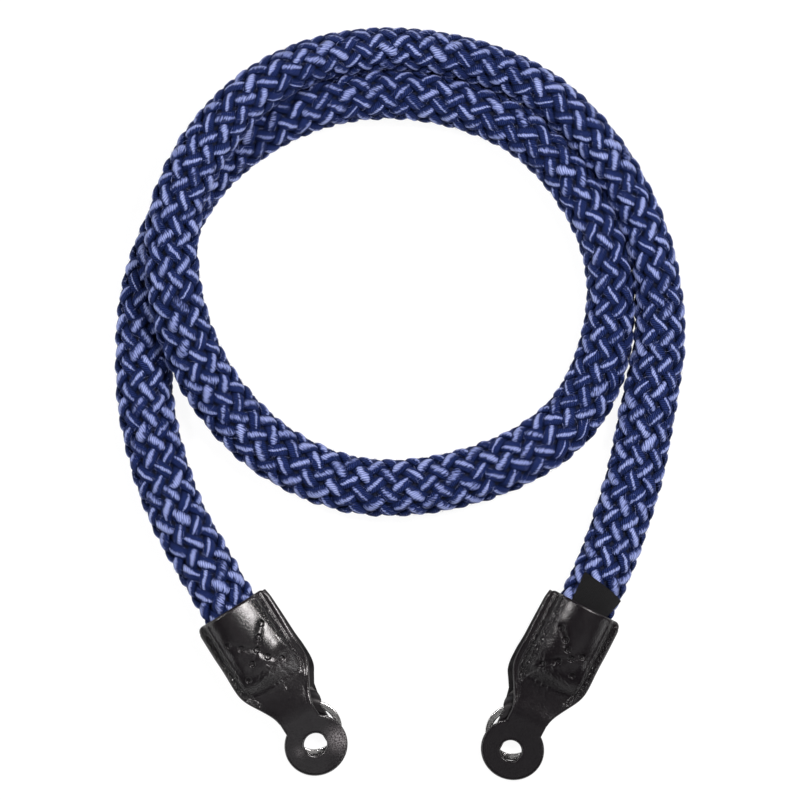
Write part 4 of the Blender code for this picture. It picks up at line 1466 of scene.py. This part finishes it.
def make_ring(end, material):
    """Split ring: one flat wire of two turns, with rounded corners."""
    half_step = math.radians(STEP_HALF_ANGLE)
    turn = np.linspace(half_step, math.radians(720.0 - STEP_HALF_ANGLE), RING_STATIONS)
    step = np.clip((turn - 2 * math.pi + half_step) / (2 * half_step), 0.0, 1.0)
    level = (WIRE_HEIGHT + TURN_GAP) / 2 * (2 * step * step * (3 - 2 * step) - 1)
    radius = RING_RADIUS - WIRE_WIDTH / 2
    centres = np.column_stack([radius * np.cos(turn), radius * np.sin(turn), level])
    out = np.column_stack([np.cos(turn), np.sin(turn), np.zeros(RING_STATIONS)])
    angle = 2 * math.pi * np.arange(RING_SIDES) / RING_SIDES
    across, tall = (
        np.sign(wave) * np.abs(wave) ** RING_SQUARENESS * size / 2
        for wave, size in ((np.cos(angle), WIRE_WIDTH), (np.sin(angle), WIRE_HEIGHT))
    )
    points = centres[:, None, :] + out[:, None, :] * across[None, :, None]
    points[..., 2] += tall[None, :]
    index = np.arange(RING_STATIONS * RING_SIDES).reshape(RING_STATIONS, RING_SIDES)
    near, far = index[:-1], index[1:]
    quads = np.stack([near, far, np.roll(far, -1, 1), np.roll(near, -1, 1)], -1).reshape(-1, 4)
    height = RING_RADIUS * math.sin(RING_TILT) + RING_HEIGHT / 2 * math.cos(RING_TILT)
    place = Matrix.Translation((RING_DISTANCE, RING_OFFSET * end["hand"], height))
    matrix = np.array(end_matrix(end) @ place @ Matrix.Rotation(RING_TILT, 4, "Y"))
    flat = points.reshape(-1, 3) @ matrix[:3, :3].T + matrix[:3, 3]
    name = f"ring_{end['side']}"
    mesh = fast_mesh(name, flat, quads)
    close_tube(mesh, index[0], index[-1][::-1], turn_out=True)
    return add_piece(name, mesh, name, material, [f"split_ring_{end['side']}"])


def make_label(material):
    """Bare woven label wrapped over the rope and tucked under the right front leather."""
    mouth = ROPE_LENGTH - ROPE_INSET
    alongs = np.linspace(LABEL_TUCK - LABEL_LENGTH, LABEL_TUCK, 49)
    shares = np.linspace(0.0, 1.0, 61)
    rows = []
    for along in alongs:
        slant = LABEL_SKEW * (0.5 - shares) * (LABEL_TUCK - along) / LABEL_LENGTH
        lengths = mouth + along + slant
        first = LABEL_FROM + LABEL_TURN * (along - alongs[0]) / LABEL_LENGTH
        turn = np.radians(first + (LABEL_TO - first) * shares)
        half_width = rope_at(lengths, "width") / 2
        half_height = rope_at(lengths, "height") / 2
        out = 1.0 + GAP / np.minimum(half_width, half_height)
        points = (
            rope_at(lengths, "centre")
            + rope_at(lengths, "side") * (half_width * out * np.cos(turn))[:, None]
            + rope_at(lengths, "up") * (half_height * out * np.sin(turn))[:, None]
        )
        rows.append(points)
    uvs = np.stack(np.meshgrid(shares * 1.5, (alongs - alongs[0]) / (10 * MM)), -1)
    mesh = grid_mesh("label", np.array(rows), uvs.reshape(-1, 2))
    piece = add_piece("label", mesh, "strap", material, ["woven_label"])
    thicken(piece, LABEL_THICKNESS, False, 0.2 * MM, 2)
    return piece


def make_stage():
    """A plain white floor."""
    mesh = bpy.data.meshes.new("floor")
    signs = ((-1, -1), (1, -1), (1, 1), (-1, 1))
    corners = [(x * FLOOR_REACH, y * FLOOR_REACH, 0) for x, y in signs]
    mesh.from_pydata(corners, [], [(0, 1, 2, 3)])
    floor = bpy.data.objects.new("floor", mesh)
    bpy.context.scene.collection.objects.link(floor)
    floor.location.z = -FLOOR_DROP
    material, _, _ = new_material(
        "white floor", Base_Color=(0.10, 0.10, 0.10, 1.0), Roughness=0.9, Specular_IOR_Level=0.0,
        Emission_Color=(1.0, 1.0, 1.0, 1.0), Emission_Strength=0.94,
    )
    mesh.materials.append(material)


def add_light(name, azimuth, elevation, size, radiance, color):
    """A soft square lamp that faces the middle of the strap."""
    data = bpy.data.lights.new(name, "AREA")
    data.shape = "RECTANGLE"
    data.size, data.size_y = size
    data.energy = radiance * math.pi * data.size * data.size_y
    data.color = color
    lamp = bpy.data.objects.new(name, data)
    bpy.context.scene.collection.objects.link(lamp)
    turn, rise = math.radians(azimuth), math.radians(elevation)
    flat = math.cos(rise)
    way = Vector((math.cos(turn) * flat, math.sin(turn) * flat, math.sin(rise)))
    lamp.location = way * LAMP_DISTANCE
    lamp.rotation_euler = (-way).to_track_quat("-Z", "Y").to_euler()


def make_light():
    """A soft white room that is darker overhead, and six soft lamps round the strap."""
    world = bpy.data.worlds.new("room")
    bpy.context.scene.world = world
    world.use_nodes = True
    tree = world.node_tree
    back = tree.nodes["Background"]
    place = tree.nodes.new("ShaderNodeTexCoord")
    split = tree.nodes.new("ShaderNodeSeparateXYZ")
    tree.links.new(place.outputs["Generated"], split.inputs[0])
    level = mapped(tree, split.outputs["Z"], 0.05, 0.42, 0.55, 0.02)
    tree.links.new(level, back.inputs["Strength"])
    back.inputs["Color"].default_value = (1.0, 1.0, 1.0, 1.0)
    for lamp in LAMPS:
        add_light(*lamp)


def make_camera():
    """Straight down on the strap, from far away."""
    data = bpy.data.cameras.new("camera")
    data.sensor_width = 36.0
    data.lens = data.sensor_width * VIEW_HEIGHT / VIEW_WIDTH
    data.clip_end = 20.0
    camera = bpy.data.objects.new("camera", data)
    camera.location = (0.0, VIEW_Y, VIEW_HEIGHT)
    bpy.context.scene.collection.objects.link(camera)
    bpy.context.scene.camera = camera


def main():
    """Dress the strap and set the stage."""
    make_camera()
    make_rope()
    back_leather = leather_material("back leather", 0.36, 0.50)
    thread = thread_material()
    steel = steel_material()
    for end in (LEFT_END, RIGHT_END):
        front_leather = leather_material(f"front leather {end['side']}", 0.245, end["gloss"])
        _, shape = make_front(end, front_leather)
        make_back(end, back_leather)
        make_thread(end, shape, thread)
        make_ring(end, steel)
    make_label(label_material())
    make_stage()
    make_light()
    bpy.context.scene.view_settings.view_transform = "Standard"


main()
